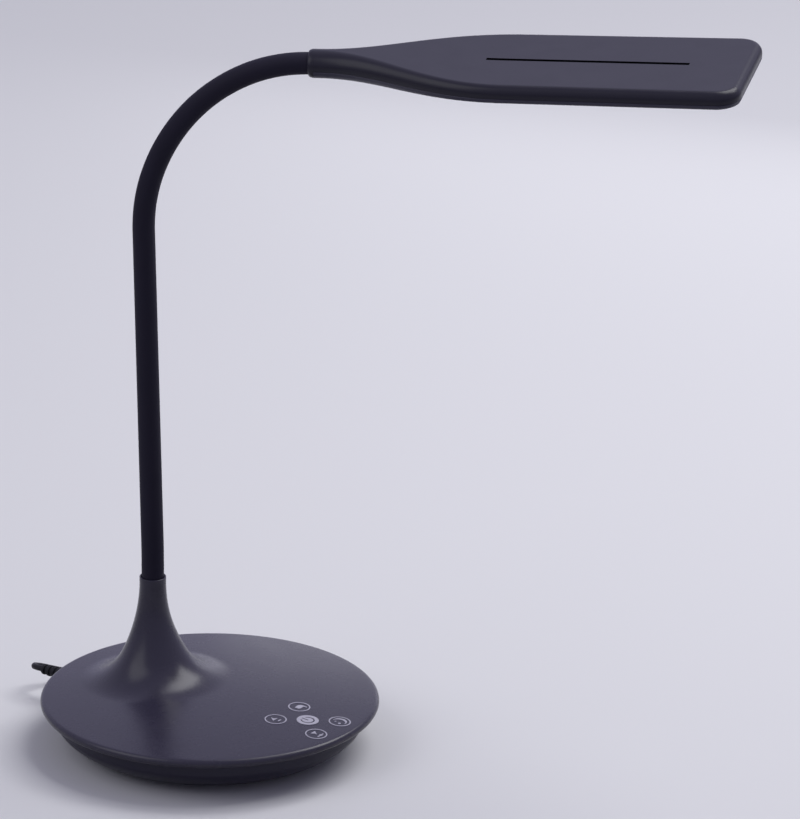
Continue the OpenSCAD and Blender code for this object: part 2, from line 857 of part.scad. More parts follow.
module head_top_shell() {
    boss_top = grade(neck_r, head_half_t, screw_x) - head_wall / 2;
    color(shell_colour) head_frame() difference() {
        union() {
            intersection() {
                head_solid();
                half_space(true);
            }
            at_screws() translate([0, 0, seam_z]) cylinder(r = head_r, h = boss_top - seam_z);
        }
        at_screws() translate([0, 0, seam_z - overrun])
            cylinder(r = pilot_r, h = boss_top - seam_z - overrun);
        translate([slot_x, -slot_w / 2, 0]) cube([slot_len, slot_w, head_t]);
    }
}

module window_2d(grow) {
    translate([panel_x - grow, -window_half - grow])
        square([panel_end - panel_x + 2 * grow, 2 * (window_half + grow)]);
}

module head_bezel() {
    low_z = -grade(neck_r, head_half_t, screw_x);
    color(pan_colour) head_frame() difference() {
        union() {
            intersection() {
                head_solid();
                half_space(false);
            }
            at_screws() translate([0, 0, low_z + 2 * fit])
                cylinder(r = head_r + boss_wall, h = seam_z - low_z - 2 * fit - near);
        }
        translate([0, 0, -head_t]) linear_extrude(head_t) window_2d(near);
        at_screws() {
            translate([0, 0, low_z - overrun]) cylinder(r = head_r + fit, h = screw_deep + overrun);
            translate([0, 0, low_z]) cylinder(r = screw_r + fit, h = head_t);
        }
    }
}

module head_screws() {
    low_z = -grade(neck_r, head_half_t, screw_x);
    color(steel_colour) head_frame() at_screws() translate([0, 0, low_z + screw_deep - head_h])
        screw(head_half_t, pilot_r);
}

module slot_liner() {
    color(rubber_colour) head_frame()
        translate([slot_x - liner_lap, -slot_w / 2 - liner_lap, head_half_t - head_wall - near - liner_t])
            cube([slot_len + 2 * liner_lap, slot_w + 2 * liner_lap, liner_t]);
}

module heat_plate() {
    color(steel_colour) head_frame() translate([0, 0, plate_z]) linear_extrude(plate_t)
        window_2d(strip_t);
}

module reflector_sheet() {
    color(white_colour) head_frame() translate([0, 0, sheet_z]) linear_extrude(sheet_t)
        window_2d(0);
}

module light_guide() {
    color(white_colour) head_frame() translate([0, 0, guide_z]) linear_extrude(guide_t)
        window_2d(-2 * fit);
}

module lens_panel() {
    color(white_colour) head_frame() {
        translate([0, 0, lens_sunk - head_half_t])
            linear_extrude(lens_z + head_half_t - lens_sunk) window_2d(0);
        translate([0, 0, lens_z]) linear_extrude(lens_t) window_2d(lens_lip);
    }
}

module led_strips() {
    color(board_colour) head_frame() for (s = [-1, 1])
        translate([panel_x, s * (window_half + strip_in) + (s - 1) * strip_t / 2, guide_z])
            cube([panel_end - panel_x, strip_t, guide_t]);
}

module leds() {
    run = panel_end - panel_x;
    color(white_colour) head_frame() for (s = [-1, 1], i = [0:led_count - 1])
        translate([panel_x + run * (i + 0.5) / led_count - led_size / 2,
            s * (window_half + strip_in - near) + (-s - 1) * led_t / 2, guide_z + 2 * fit])
                cube([led_size, led_t, led_size]);
}

module upper_bush() {
    spigot = 1.4;
    color(brass_colour) link_frame(last_link, 1) difference() {
        union() {
            tube(core_r, core_r - bush_wall, cuff_len);
            translate([0, 0, spigot]) tube(cuff_r, core_r - bush_wall, cuff_len - spigot);
        }
        translate([0, 0, hollow_x]) tube(cuff_r + overrun, cuff_r - clip_deep, clip_w + 2 * near);
    }
}

// The ring's outer edge is rounded towards the gooseneck by a quarter of an oval
module collar_ring() {
    round_x = 2.6;
    round_r = neck_r - recess_r - near;
    color(shell_colour) head_frame() along() rotate_extrude() polygon(concat(
        [[recess_r, 0]],
        [for (i = [0:8]) let (a = 90 * i / 8)
            [neck_r - round_r + round_r * sin(a), round_x - round_x * cos(a)]],
        [[neck_r, lip_x], [recess_r, lip_x]]
    ));
}

module neck_clip() {
    color(steel_colour) head_frame() translate([hollow_x + near, 0, 0]) along() difference() {
        tube(cuff_r + clip_out, cuff_r - clip_deep + near, clip_w);
        translate([0, -clip_mouth / 2, -overrun])
            cube([2 * cuff_r, clip_mouth, clip_w + 2 * overrun]);
    }
}

module head_lead() {
    from_x = cuff_len + overrun;
    color(rubber_colour) head_frame() translate([from_x, 0, 0]) along()
        cylinder(r = head_lead_r, h = panel_x - from_x - 2 * overrun);
}

// Lead
function tangent(p, i) = let (d = p[min(i + 1, len(p) - 1)] - p[max(i - 1, 0)]) d / norm(d);
function loop_at(p, i, r, n) = let (
    t = tangent(p, i),
    s0 = cross([0, 0, 1], t),
    s = s0 / norm(s0),
    u = cross(t, s))
    [for (k = [0:n - 1]) let (a = 360 * (k + 0.5) / n) p[i] + r * (cos(a) * s + sin(a) * u)];
function path_len(p, i = 0) = i >= len(p) - 1 ? 0 : norm(p[i + 1] - p[i]) + path_len(p, i + 1);

module sweep(p, r, n) {
    last = len(p) - 1;
    points = [for (i = [0:last]) each loop_at(p, i, r, n)];
    walls = [for (i = [0:last - 1], k = [0:n - 1]) let (a = i * n + k, b = i * n + (k + 1) % n)
        each [[a, a + n, b + n], [a, b + n, b]]];
    ends = concat([for (k = [1:n - 2]) [0, k, k + 1]],
        [for (k = [1:n - 2]) [last * n, last * n + k + 1, last * n + k]]);
    polyhedron(points, concat(walls, ends));
}

// Coil: in on the lower layer, up in the innermost half turn and out again on the upper one
function coil_point(s) = let (
    out = abs(s - half_turns),
    r = coil_r - coil_pitch * (half_turns - out),
    a = 180 - 360 * s,
    z = coil_z + coil_pitch * ease((s - half_turns) * 2 + 0.5))
    coil_mid + [r * cos(a), r * sin(a), z];
coil_top = coil_z + coil_pitch;
coil_exit = coil_point(coil_turns);
tail_drop = coil_top - plug_z;
coil_start = coil_point(0) - [0, cord_d, 0];
lead_route = concat(lead_points, [coil_start - [0, cord_d / 2, 0], coil_start]);
coil_route = concat(
    [coil_start],
    [for (i = [0:coil_turns * loop_rings]) coil_point(i / loop_rings)],
    [for (i = [1:3]) [coil_exit.x + i * tail_step, coil_exit.y,
        coil_top - [0, 0.1, 0.5, 0.9][i] * tail_drop]],
    [
        [plug_x - cord_d, coil_exit.y, plug_z], [plug_x, coil_exit.y, plug_z]
    ]
);
function least_gap(p) = min([for (i = [0:4:len(p) - 1], j = [i + loop_rings / 2:len(p) - 1])
    norm(p[i] - p[j])]);

function pan_inner_x(z) = let (
    low = min(max((pan_bend_z - z) / (pan_bend_z - floor_z), 0), 1),
    s = pow(low, 1 / pan_power))
    pan_foot_r + (pan_r - pan_wall - pan_foot_r) * pow(sqrt(1 - s * s), pan_power);

module strain_relief() {
    flange_r = relief_neck_r + relief_lip;
    flange_x = pan_inner_x(relief_z - flange_r) - fit;
    from_x = pan_r + near;
    rib = (relief_tip - from_x) / relief_ribs;
    rib_share = 0.5;
    color(rubber_colour) translate([0, 0, relief_z]) rotate([0, -90, 0]) difference() {
        union() {
            translate([0, 0, flange_x - relief_lip_t]) cylinder(r = flange_r, h = relief_lip_t);
            translate([0, 0, flange_x - relief_lip_t])
                cylinder(r = relief_neck_r, h = from_x - flange_x + 2 * relief_lip_t);
            translate([0, 0, from_x]) cylinder(r1 = relief_root_r - relief_groove,
                r2 = relief_tip_r - relief_groove, h = relief_tip - from_x);
            for (i = [0:relief_ribs - 1])
                translate([0, 0, from_x + (i + 1 - rib_share) * rib])
                    cylinder(r = relief_root_r + (relief_tip_r - relief_root_r) * (i + 1) / relief_ribs,
                        h = rib * rib_share);
        }
        translate([0, 0, flange_x - 2 * relief_lip_t])
            cylinder(r = lead_r, h = relief_tip - flange_x + 3 * relief_lip_t);
    }
}

module inner_lead() {
    color(rubber_colour) translate([-relief_tip, 0, relief_z]) along()
        cylinder(r = lead_r, h = relief_tip + board_x - overrun);
}

// Pair of wires from the board up to the gooseneck's bore
module riser_lead() {
    wire_z = board_z + board_t + core_bore;
    color(rubber_colour) at_riser() translate([0, 0, wire_z]) {
        cylinder(r = wire_r, h = bush_low_z - overrun - wire_z);
        along() cylinder(r = wire_r - near, h = riser_offset + board_x + board_grip);
    }
}

module power_lead() {
    color(rubber_colour) sweep(lead_route, lead_r, 8);
}

module lead_coil() {
    color(rubber_colour) sweep(coil_route, lead_r, 6);
}

module lead_tie() {
    wide = coil_pitch * half_turns + cord_d + tie_slack + 2 * fit;
    high = coil_pitch + cord_d + coil_lift;
    inner_x = coil_r - coil_pitch * half_turns - lead_r - tie_slack;
    color(pan_colour) translate([coil_mid.x, coil_mid.y - tie_w / 2, 0]) difference() {
        translate([inner_x - tie_t, 0, 0]) cube([wide + 2 * tie_t, tie_w, high + 2 * tie_t]);
        translate([inner_x, -overrun, tie_t]) cube([wide, tie_w + 2 * overrun, high]);
    }
}

module plug_body() {
    long = plug_len - plug_boot;
    round_y = plug_w / 2 - plug_round;
    round_z = plug_h / 2 - plug_round;
    color(rubber_colour) translate([plug_x, coil_exit.y, plug_z]) difference() {
        union() {
            along() cylinder(r1 = cord_d * 0.8, r2 = cord_d * 1.15, h = plug_boot + near);
            translate([plug_boot, 0, 0]) along() linear_extrude(long)
                for (s = [-1, 1], t = [-1, 1])
                    translate([s * round_z, t * round_y]) circle(plug_round);
            translate([plug_boot, -round_y, -plug_h / 2]) cube([long, 2 * round_y, plug_h]);
            translate([plug_boot, -plug_w / 2, -round_z]) cube([long, plug_w, 2 * round_z]);
        }
        translate([plug_len - shell_in, -shell_w / 2, -shell_h / 2])
            cube([shell_in + overrun, shell_w, shell_h]);
    }
}

module plug_shell() {
    color(steel_colour) translate([plug_x + plug_len - shell_in, coil_exit.y, plug_z]) difference() {
        translate([0, -shell_w / 2, -shell_h / 2]) cube([shell_len, shell_w, shell_h]);
        translate([overrun, -shell_w / 2 + shell_wall, -shell_h / 2 + shell_wall])
            cube([shell_len, shell_w - 2 * shell_wall, shell_h - 2 * shell_wall]);
        for (s = [-1, 1])
            translate([window_x, (s * shell_w / 2 - window_w) / 2, -shell_h])
                cube([window_w, window_w, shell_h * 2]);
    }
}

module plug_tongue() {
    color(white_colour) translate([plug_x + plug_len - shell_in + overrun, coil_exit.y, plug_z])
        translate([0, -shell_w / 2 + shell_wall, -shell_h / 2 + shell_wall])
            cube([shell_len - overrun - shell_wall, shell_w - 2 * shell_wall, tongue_t]);
}

base_top_cover();
base_pan();
foot_pad();
ballast_plate();
ballast_screws();
pan_screws();
touch_board();
board_parts();
touch_springs();
board_screws();
mark_power();
mark_night();
mark_warmth();
mark_dimmer();
mark_brighter();
riser_washer();
strain_relief();
inner_lead();
riser_lead();
lower_bush();
lock_nut();
core_0();
core_1();
core_2();
core_3();
core_4();
core_5();
core_6();
core_7();
core_8();
sleeve_1();
sleeve_2();
sleeve_3();
sleeve_4();
sleeve_5();
sleeve_6();
sleeve_7();
sleeve_8();
upper_bush();
collar_ring();
head_top_shell();
head_bezel();
slot_liner();
heat_plate();
reflector_sheet();
light_guide();
lens_panel();
led_strips();
leds();
head_screws();
neck_clip();
head_lead();
power_lead();
lead_coil();
lead_tie();
plug_body();
plug_shell();
plug_tongue();
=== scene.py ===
"""Touch-control desk lamp: camera, light, finishes and the finely shaped pieces around the fixed frame.

Sizes are millimetres and turns are degrees. They become metres and radians where a mesh, a lamp or
the camera is made. The lamp stands on z = 0 with the base's middle at the origin, Z up and X towards
the touch marks.
"""

import json
from math import asin, atan, cos, degrees, hypot, pi, radians, sin, sqrt

import bmesh
import bpy
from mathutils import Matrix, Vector

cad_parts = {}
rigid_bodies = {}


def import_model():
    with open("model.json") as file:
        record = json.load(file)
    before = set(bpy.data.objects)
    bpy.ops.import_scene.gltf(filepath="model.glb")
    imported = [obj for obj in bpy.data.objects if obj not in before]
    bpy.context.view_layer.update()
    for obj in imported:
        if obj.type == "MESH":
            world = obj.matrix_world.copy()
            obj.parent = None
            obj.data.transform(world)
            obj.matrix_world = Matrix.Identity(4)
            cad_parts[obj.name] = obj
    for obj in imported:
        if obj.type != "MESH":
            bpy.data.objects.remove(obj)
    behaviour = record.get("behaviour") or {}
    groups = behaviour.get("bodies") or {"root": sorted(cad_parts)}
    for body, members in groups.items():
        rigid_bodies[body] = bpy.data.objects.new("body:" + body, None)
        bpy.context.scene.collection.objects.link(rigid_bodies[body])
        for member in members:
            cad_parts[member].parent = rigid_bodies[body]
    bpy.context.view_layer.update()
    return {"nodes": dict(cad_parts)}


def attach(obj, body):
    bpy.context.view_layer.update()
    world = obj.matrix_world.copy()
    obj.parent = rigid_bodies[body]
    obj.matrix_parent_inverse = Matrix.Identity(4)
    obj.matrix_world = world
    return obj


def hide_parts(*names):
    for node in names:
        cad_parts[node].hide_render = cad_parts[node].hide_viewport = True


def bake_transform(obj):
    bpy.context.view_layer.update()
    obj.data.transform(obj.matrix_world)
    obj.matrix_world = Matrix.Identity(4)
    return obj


for leftover in list(bpy.data.objects):
    bpy.data.objects.remove(leftover)
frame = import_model()

MM = 0.001
scene = bpy.context.scene


# Camera: the photograph's view, far away with a long lens
IMAGE_H = 819
IMAGE_MIDDLE = (400, 409.5)
PIXELS_PER_MM = 1.8825
BASE_PIXEL = (209.8, 697)
BASE_PIXEL_Z = 26
VIEW_TURN = radians(36)
VIEW_RISE = radians(22)
CAMERA_AWAY = 18000
SENSOR = 36

RIGHT = Vector((cos(VIEW_TURN), sin(VIEW_TURN), 0))
AWAY = Vector((-sin(VIEW_TURN), cos(VIEW_TURN), 0))
UP = Vector((0, 0, 1))
TO_CAMERA = UP * sin(VIEW_RISE) - AWAY * cos(VIEW_RISE)
IMAGE_UP = UP * cos(VIEW_RISE) + AWAY * sin(VIEW_RISE)


def aim(obj, at, direction):
    obj.location = at * MM
    obj.rotation_euler = direction.to_track_quat("-Z", "Y").to_euler()
    scene.collection.objects.link(obj)


def make_camera():
    data = bpy.data.cameras.new("camera")
    data.sensor_width = SENSOR
    data.lens = SENSOR * CAMERA_AWAY / (IMAGE_H / PIXELS_PER_MM)
    camera = bpy.data.objects.new("camera", data)
    across = (IMAGE_MIDDLE[0] - BASE_PIXEL[0]) / PIXELS_PER_MM
    rise = (BASE_PIXEL[1] - IMAGE_MIDDLE[1]) / PIXELS_PER_MM
    at = Vector((0, 0, BASE_PIXEL_Z)) + RIGHT * across + IMAGE_UP * rise + TO_CAMERA * CAMERA_AWAY
    aim(camera, at, -TO_CAMERA)
    scene.camera = camera


make_camera()
scene.view_settings.view_transform = "Standard"


# Sizes of the lamp, as in the part's own source
RIM_R = 90
RIM_Z = 24
RIM_ROUND = 2.4
DOME_RISE = 4.3
COVER_WALL = 2.5
POST_RING_R = 44
POST_R = 3.6
POST_Z = 12.4
BOARD_POST_X = 48.3
BOARD_POST_Y = 14.9
BOARD_POST_R = 2.5
BOARD_POST_Z = 19.6
POST_SIDES = 32
PAN_R = 82
PAN_FOOT_R = 56
PAN_WALL = 2.2
PAN_BEND_Z = 14.6
FOOT_PROUD = 0.5
PAN_POWER = 1.3
PAD_R = 53
PAD_T = 1.5
FIT = 0.2

RISER_OFFSET = 37.4
RISER_TOP = 86.5
RISER_R = 7.1
RISER_STRAIGHT = 3.4
FLARE_R = 80
FLARE_TURN = 30
STEM_SHARE = 0.42
MOUTH_R = 6.3
MOUTH_DEPTH = 4
BORE_R = 5.4
SEAT_Z = 54
NUT_ROOM_R = 8.9
NUT_ROOM_H = 8
SKIRT_R = 15.5
SKIRT_Z = 33

ARM_TURN = 25
SLEEVE_R = 6
SLEEVE_WALL = 1.3
SLEEVE_SIDES = 48
SLEEVE_STEP = 1.5
ENTRY_LEN = 14
UPRIGHT_LEN = 197
CURVE_LEN = 149.6
LEAN = 1.36
HEAD_TILT = 2.8
ARCH_SHARES = (0.2435, 0.226, 0.248, 0.2825)
MOUTH_TUCK = 2.7

HEAD_LEN = 237.5
PANEL_HALF = 40.5
TIP_HALF = 42.3
HEAD_HALF_T = 4.85
NECK_R = 7.75
TAPER_LEN = 107.5
NECK_PULL = (0.34, 0.93)
PANEL_PULL = (0.45, 0.957)
NECK_LEN = 3.5
HEAD_CORNER = 13
SLOT_FROM = 95.3
SLOT_LEN = 109
SLOT_W = 3
HEAD_WALL = 1.5
LIP_X = 3.2
LIP_ROUND_X = 2.6
LIP_ROUND_R = 1.25
ROLL_W = 4
LOW_ROLL = 1.8
SEAM_Z = -2.2
SEAM_GAP = 0.05
RECESS_R = 6.4
CUFF_BORE = 5.45
HOLLOW_SHARE = 0.125
WINDOW_FROM = 107.4
WINDOW_TO = 226.6
WINDOW_HALF = 34.1
SCREW_X = 60
SCREW_Y = 12
SCREW_DEEP = 2.2
SCREW_HEAD_R = 2.8
SCREW_HOLE_R = 1.7
CUP_WALL = 1.2
PILOT_R = 1.25
PILOT_ROOF = 1
BOSS_SIDES = 40
COLLAR_SIDES = 96

RELIEF_Z = 15.5
RELIEF_TIP = 110
RELIEF_FROM = PAN_R + 0.1
RELIEF_RIBS = 8
RELIEF_TIP_R = 2.8
RELIEF_ROOT_R = 4.9
RELIEF_GROOVE = 0.75
RELIEF_NECK_R = 3.2
RELIEF_FLANGE_IN = 3.6
RELIEF_FLANGE_STEP = 0.8
RELIEF_FLANGE_T = 1.5
RELIEF_SIDES = 64

CORD_R = 1.6
COIL_MID = Vector((-59, 82, 0))
COIL_R = 28
COIL_TURNS = 11.25
COIL_PITCH = 3.66
COIL_LIFT = 0.6
PLUG_X = -40
PLUG_Z = 4.4


def ease(share):
    share = min(max(share, 0), 1)
    return share * share * (3 - 2 * share)


def steps(low, high, count):
    return [low + (high - low) * i / count for i in range(count + 1)]


# Mesh helpers
def strips(ring_count, ring_len, rings_close=False, ring_closes=True, first=0):
    """Four-sided faces between each ring of points and the next."""
    faces = []
    for j in range(ring_count if rings_close else ring_count - 1):
        for i in range(ring_len if ring_closes else ring_len - 1):
            low, high = first + j * ring_len, first + (j + 1) % ring_count * ring_len
            after = (i + 1) % ring_len
            faces.append((low + i, low + after, high + after, high + i))
    return faces


def turned(profile, count, place=Vector):
    """A closed profile of (radius, height) points turned round the Z axis."""
    points = [place((r * cos(2 * pi * k / count), r * sin(2 * pi * k / count), z))
              for r, z in profile for k in range(count)]
    return points, strips(len(profile), count, rings_close=True)


def joined(parts):
    points, faces = [], []
    for part_points, part_faces in parts:
        start = len(points)
        points.extend(part_points)
        faces.extend(tuple(start + i for i in face) for face in part_faces)
    return points, faces


def made(name, finish, *parts, sharp=35):
    """One closed mesh object from parts of points and faces, in metres."""
    points, faces = joined(parts)
    mesh = bpy.data.meshes.new(name)
    mesh.from_pydata([Vector(p) * MM for p in points], [], faces)
    form = bmesh.new()
    form.from_mesh(mesh)
    bmesh.ops.remove_doubles(form, verts=form.verts, dist=1e-6)
    bmesh.ops.dissolve_degenerate(form, edges=form.edges, dist=1e-7)
    bmesh.ops.recalc_face_normals(form, faces=form.faces)
    form.to_mesh(mesh)
    form.free()
    mesh.shade_smooth()
    mesh.set_sharp_from_angle(angle=radians(sharp))
    mesh.materials.append(finish)
    obj = bpy.data.objects.new(name, mesh)
    scene.collection.objects.link(obj)
    return obj


# Node helpers
class Number:
    """A value that nodes work out. Sums with it add Math nodes."""

    def __init__(self, tree, socket):
        self.tree = tree
        self.socket = socket

    def math(self, operation, first, second):
        node = self.tree.nodes.new("ShaderNodeMath")
        node.operation = operation
        for slot, value in zip(node.inputs, (first, second)):
            if isinstance(value, Number):
                self.tree.links.new(value.socket, slot)
            else:
                slot.default_value = value
        return Number(self.tree, node.outputs[0])

    def __add__(self, other):
        return self.math("ADD", self, other)

    def __radd__(self, other):
        return self.math("ADD", other, self)

    def __sub__(self, other):
        return self.math("SUBTRACT", self, other)

    def __rsub__(self, other):
        return self.math("SUBTRACT", other, self)

    def __mul__(self, other):
        return self.math("MULTIPLY", self, other)

    def __truediv__(self, other):
        return self.math("DIVIDE", self, other)


class Nodes:
    """Adds nodes to one tree."""

    def __init__(self, tree):
        self.tree = tree

    def node(self, kind, inputs=None, output=0, stops=(), **settings):
        node = self.tree.nodes.new(kind)
        for key, value in settings.items():
            setattr(node, key, value)
        for i, (place, level) in enumerate(stops):
            element = node.color_ramp.elements[i] if i < 2 else node.color_ramp.elements.new(place)
            element.position = place
            element.color = (level, level, level, 1)
        for key, value in (inputs or {}).items():
            self.feed(self.find(node.inputs, key), value)
        return Number(self.tree, self.find(node.outputs, output))

    @staticmethod
    def find(sockets, key):
        if isinstance(key, int):
            return sockets[key]
        return next(s for s in sockets if key in (s.identifier, s.name))

    def feed(self, socket, value):
        if isinstance(value, Number):
            self.tree.links.new(value.socket, socket)
        else:
            socket.default_value = value


def srgb(red, green, blue):
    """A colour written as 0 to 255, as the linear colour that a node holds."""
    shares = [c / 255 for c in (red, green, blue)]
    return tuple(s / 12.92 if s <= 0.04045 else ((s + 0.055) / 1.055) ** 2.4 for s in shares) + (1,)


def scaled(colour, factor):
    return tuple(c * factor for c in colour[:3]) + (1,)


class Finish(Nodes):
    """One material. Patterns follow the object's own coordinates."""

    def __init__(self, name):
        self.material = bpy.data.materials.new(name)
        self.material.use_nodes = True
        super().__init__(self.material.node_tree)
        self.shader = self.tree.nodes["Principled BSDF"]
        self.place = self.node("ShaderNodeTexCoord", output="Object")

    def noise(self, size, detail=2, stretch=None):
        """Cloudy values from 0 to 1, with patches of about that size in millimetres."""
        vector = self.place
        if stretch:
            vector = self.node("ShaderNodeMapping", {"Vector": self.place, "Scale": stretch})
        return self.node("ShaderNodeTexNoise",
                         {"Vector": vector, "Scale": 1 / (size * MM), "Detail": detail})

    def steep(self, value, low, high):
        return self.node("ShaderNodeMapRange", {"Value": value, "From Min": low, "From Max": high})

    def between(self, share, first, second):
        return self.node("ShaderNodeMix", {"Factor_Float": share, "A_Color": first, "B_Color": second},
                         output="Result_Color", data_type="RGBA")

    def bump(self, height, depth):
        return self.node("ShaderNodeBump", {"Height": height, "Distance": depth * MM, "Strength": 1})

    def set(self, **sockets):
        for key, value in sockets.items():
            self.feed(self.find(self.shader.inputs, key.replace("_", " ")), value)
        return self.material


def moulding(name, colour, roughness, gloss, grain=0.35, depth=0.012, mottle=0.06):
    """Moulded plastic: a spark-etched grain, faint flow clouds and slightly uneven gloss."""
    finish = Finish(name)
    clouds = finish.noise(42, 3)
    fine = finish.noise(grain, 4)
    handled = finish.steep(finish.noise(17, 4), 0.38, 0.66)
    share = clouds * 0.7 + fine * 0.3
    return finish.set(
        Base_Color=finish.between(share, scaled(colour, 1 - mottle), scaled(colour, 1 + mottle)),
        Roughness=roughness - 0.03 + fine * 0.04 + handled * 0.03,
        Normal=finish.bump(fine, depth),
        Specular_IOR_Level=gloss)


def rubber(name, colour, roughness=0.6, gloss=0.2, size=0.5, depth=0.015):
    """Matte rubber: fine pores over long soft streaks."""
    finish = Finish(name)
    pores = finish.noise(size, 5)
    streaks = finish.noise(9, 3, stretch=(1, 1, 0.25))
    share = pores * 0.5 + streaks * 0.5
    return finish.set(
        Base_Color=finish.between(share, scaled(colour, 0.8), scaled(colour, 1.25)),
        Roughness=roughness - 0.06 + share * 0.12,
        Normal=finish.bump(pores, depth),
        Specular_IOR_Level=gloss)


def metal(name, colour, roughness, size=0.6, stretch=None, depth=0.01):
    """Bare or plated metal: tool marks or casting grain, with duller patches."""
    finish = Finish(name)
    marks = finish.noise(size, 4, stretch)
    patches = finish.steep(finish.noise(11, 4), 0.4, 0.7)
    return finish.set(
        Base_Color=finish.between(marks * 0.6 + patches * 0.4, scaled(colour, 0.82), colour),
        Roughness=roughness + patches * 0.15 + marks * 0.08,
        Normal=finish.bump(marks, depth),
        Metallic=1.0)


def milky(name, colour, roughness, scatter, clear=0.0):
    """Opal or clear plastic with a soft haze."""
    finish = Finish(name)
    haze = finish.noise(23, 3)
    fine = finish.noise(0.4, 3)
    return finish.set(
        Base_Color=finish.between(haze, scaled(colour, 0.96), colour),
        Roughness=roughness + haze * 0.06,
        Normal=finish.bump(fine, 0.004),
        Subsurface_Weight=scatter,
        Subsurface_Radius=(0.004, 0.004, 0.004),
        Transmission_Weight=clear,
        Specular_IOR_Level=0.4)


def printed(name, colour):
    """Pad-printed ink: a thin film with tiny gaps."""
    finish = Finish(name)
    gaps = finish.steep(finish.noise(0.25, 3), 0.32, 0.5)
    film = finish.noise(4, 2)
    return finish.set(
        Base_Color=finish.between(gaps * 0.5 + film * 0.5, scaled(colour, 0.86), colour),
        Roughness=0.5 + film * 0.08,
        Normal=finish.bump(gaps, 0.01),
        Specular_IOR_Level=0.25)


def circuit(name, colour):
    """Green board: a fine glass weave under lacquer, with paler ground areas."""
    finish = Finish(name)
    weave = finish.node("ShaderNodeTexWave", {"Vector": finish.place, "Scale": 1 / (0.9 * MM)})
    ground = finish.steep(finish.noise(6, 1), 0.46, 0.54)
    return finish.set(
        Base_Color=finish.between(ground * 0.8 + weave * 0.2, scaled(colour, 0.7), scaled(colour, 1.2)),
        Roughness=0.38 + weave * 0.06,
        Normal=finish.bump(weave, 0.008),
        Coat_Weight=0.3 + ground * 0.2)


CHARCOAL = moulding("satin_charcoal", srgb(44, 41, 58), roughness=0.27, gloss=0.38)
# Painted shade: the head's top shell and collar get a darker copy of the cover's charcoal, so the head
# renders darker than the base under the same light.
SHADED_HEAD_CHARCOAL = moulding("satin_charcoal_head_painted_shade", srgb(28, 26, 40), roughness=0.33, gloss=0.3)
# Painted light: the lower bezel gets a lighter copy of the charcoal, standing in for light bounced up
# from the table onto its side band.
BAND_PAINTED_BOUNCE = moulding("satin_band_painted_bounce", srgb(55, 53, 70), roughness=0.42, gloss=0.3)
TRIM = moulding("dark_trim", srgb(44, 42, 58), roughness=0.38, gloss=0.25)
SLEEVE = rubber("sleeve_rubber", srgb(38, 36, 49), gloss=0.1)
PAD = rubber("pad_rubber", srgb(34, 34, 37), roughness=0.75, size=0.9, depth=0.05)
LEAD = rubber("lead_jacket", srgb(26, 25, 31), roughness=0.5, size=0.35)
LINER = rubber("slot_rubber", srgb(10, 9, 12), roughness=0.8, gloss=0.05)
RELIEF = rubber("relief_rubber", srgb(21, 21, 26), roughness=0.5, size=0.35)
PRINT = printed("pale_print", srgb(188, 186, 200))
STEEL = metal("plated_steel", srgb(196, 197, 202), 0.28)
IRON = metal("cast_iron", srgb(104, 103, 106), 0.55, size=1.4, depth=0.08)
HOSE = metal("wound_steel", srgb(150, 150, 154), 0.35, size=1.1, stretch=(0.4, 0.4, 3), depth=0.1)
BRASS = metal("turned_brass", srgb(201, 167, 96), 0.25, size=0.5, stretch=(0.3, 0.3, 4))
ALUMINIUM = metal("rolled_aluminium", srgb(190, 192, 196), 0.4, size=0.7, stretch=(0.2, 3, 3))
BOARD = circuit("green_board", srgb(30, 92, 56))
CHIP = moulding("chip_black", srgb(28, 28, 30), roughness=0.55, gloss=0.3, grain=0.2)
TIE = moulding("tie_black", srgb(24, 24, 28), roughness=0.55, gloss=0.25)
PLUG = moulding("plug_black", srgb(26, 25, 30), roughness=0.5, gloss=0.3, grain=0.5, depth=0.03)
TONGUE = moulding("tongue_white", srgb(222, 222, 216), roughness=0.4, gloss=0.4, mottle=0.02)
SHEET = moulding("white_sheet", srgb(240, 240, 238), roughness=0.6, gloss=0.3, mottle=0.015)
OPAL = milky("opal_lens", srgb(236, 236, 230), 0.32, scatter=0.35)
GUIDE = milky("clear_guide", srgb(244, 247, 247), 0.08, scatter=0.0, clear=0.9)
PHOSPHOR = moulding("led_yellow", srgb(231, 200, 92), roughness=0.35, gloss=0.4, grain=0.15)


# Lead: down from the relief, along the table and into the stored coil, all one length
LEAD_POINTS = [
    (-110, 0, 15.5), (-113, 0, 15.4), (-117, 1.5, 14.8), (-119.5, 5.5, 13.4), (-119, 11, 11.2),
    (-115.5, 17, 8.6), (-110, 24, 5.8), (-104, 33, 3.4), (-98, 43, 2), (-92.5, 54, 1.65),
    (-89, 64, 1.65), (-87.2, 73, 2),
]
COIL_Z = COIL_LIFT + CORD_R
COIL_TOP = COIL_Z + COIL_PITCH
TURN_POINTS = 36
CORD_SIDES = 12


def coil_point(turn):
    """In on the lower layer, up in the innermost half turn and out again on the upper one."""
    half = COIL_TURNS / 2
    radius = COIL_R - COIL_PITCH * (half - abs(turn - half))
    angle = pi - 2 * pi * turn
    height = COIL_Z + COIL_PITCH * ease((turn - half) * 2 + 0.5)
    return COIL_MID + Vector((radius * cos(angle), radius * sin(angle), height))


def smoothed(points, count):
    """A curve through all the points, with that many steps between two of them."""
    curve = []
    for i in range(len(points) - 1):
        before, a = points[max(i - 1, 0)], points[i]
        b, after = points[i + 1], points[min(i + 2, len(points) - 1)]
        for k in range(count):
            t = k / count
            curve.append(0.5 * (2 * a + (b - before) * t + (2 * before - 5 * a + 4 * b - after) * t ** 2
                                + (3 * a - before - 3 * b + after) * t ** 3))
    return curve + [points[-1]]


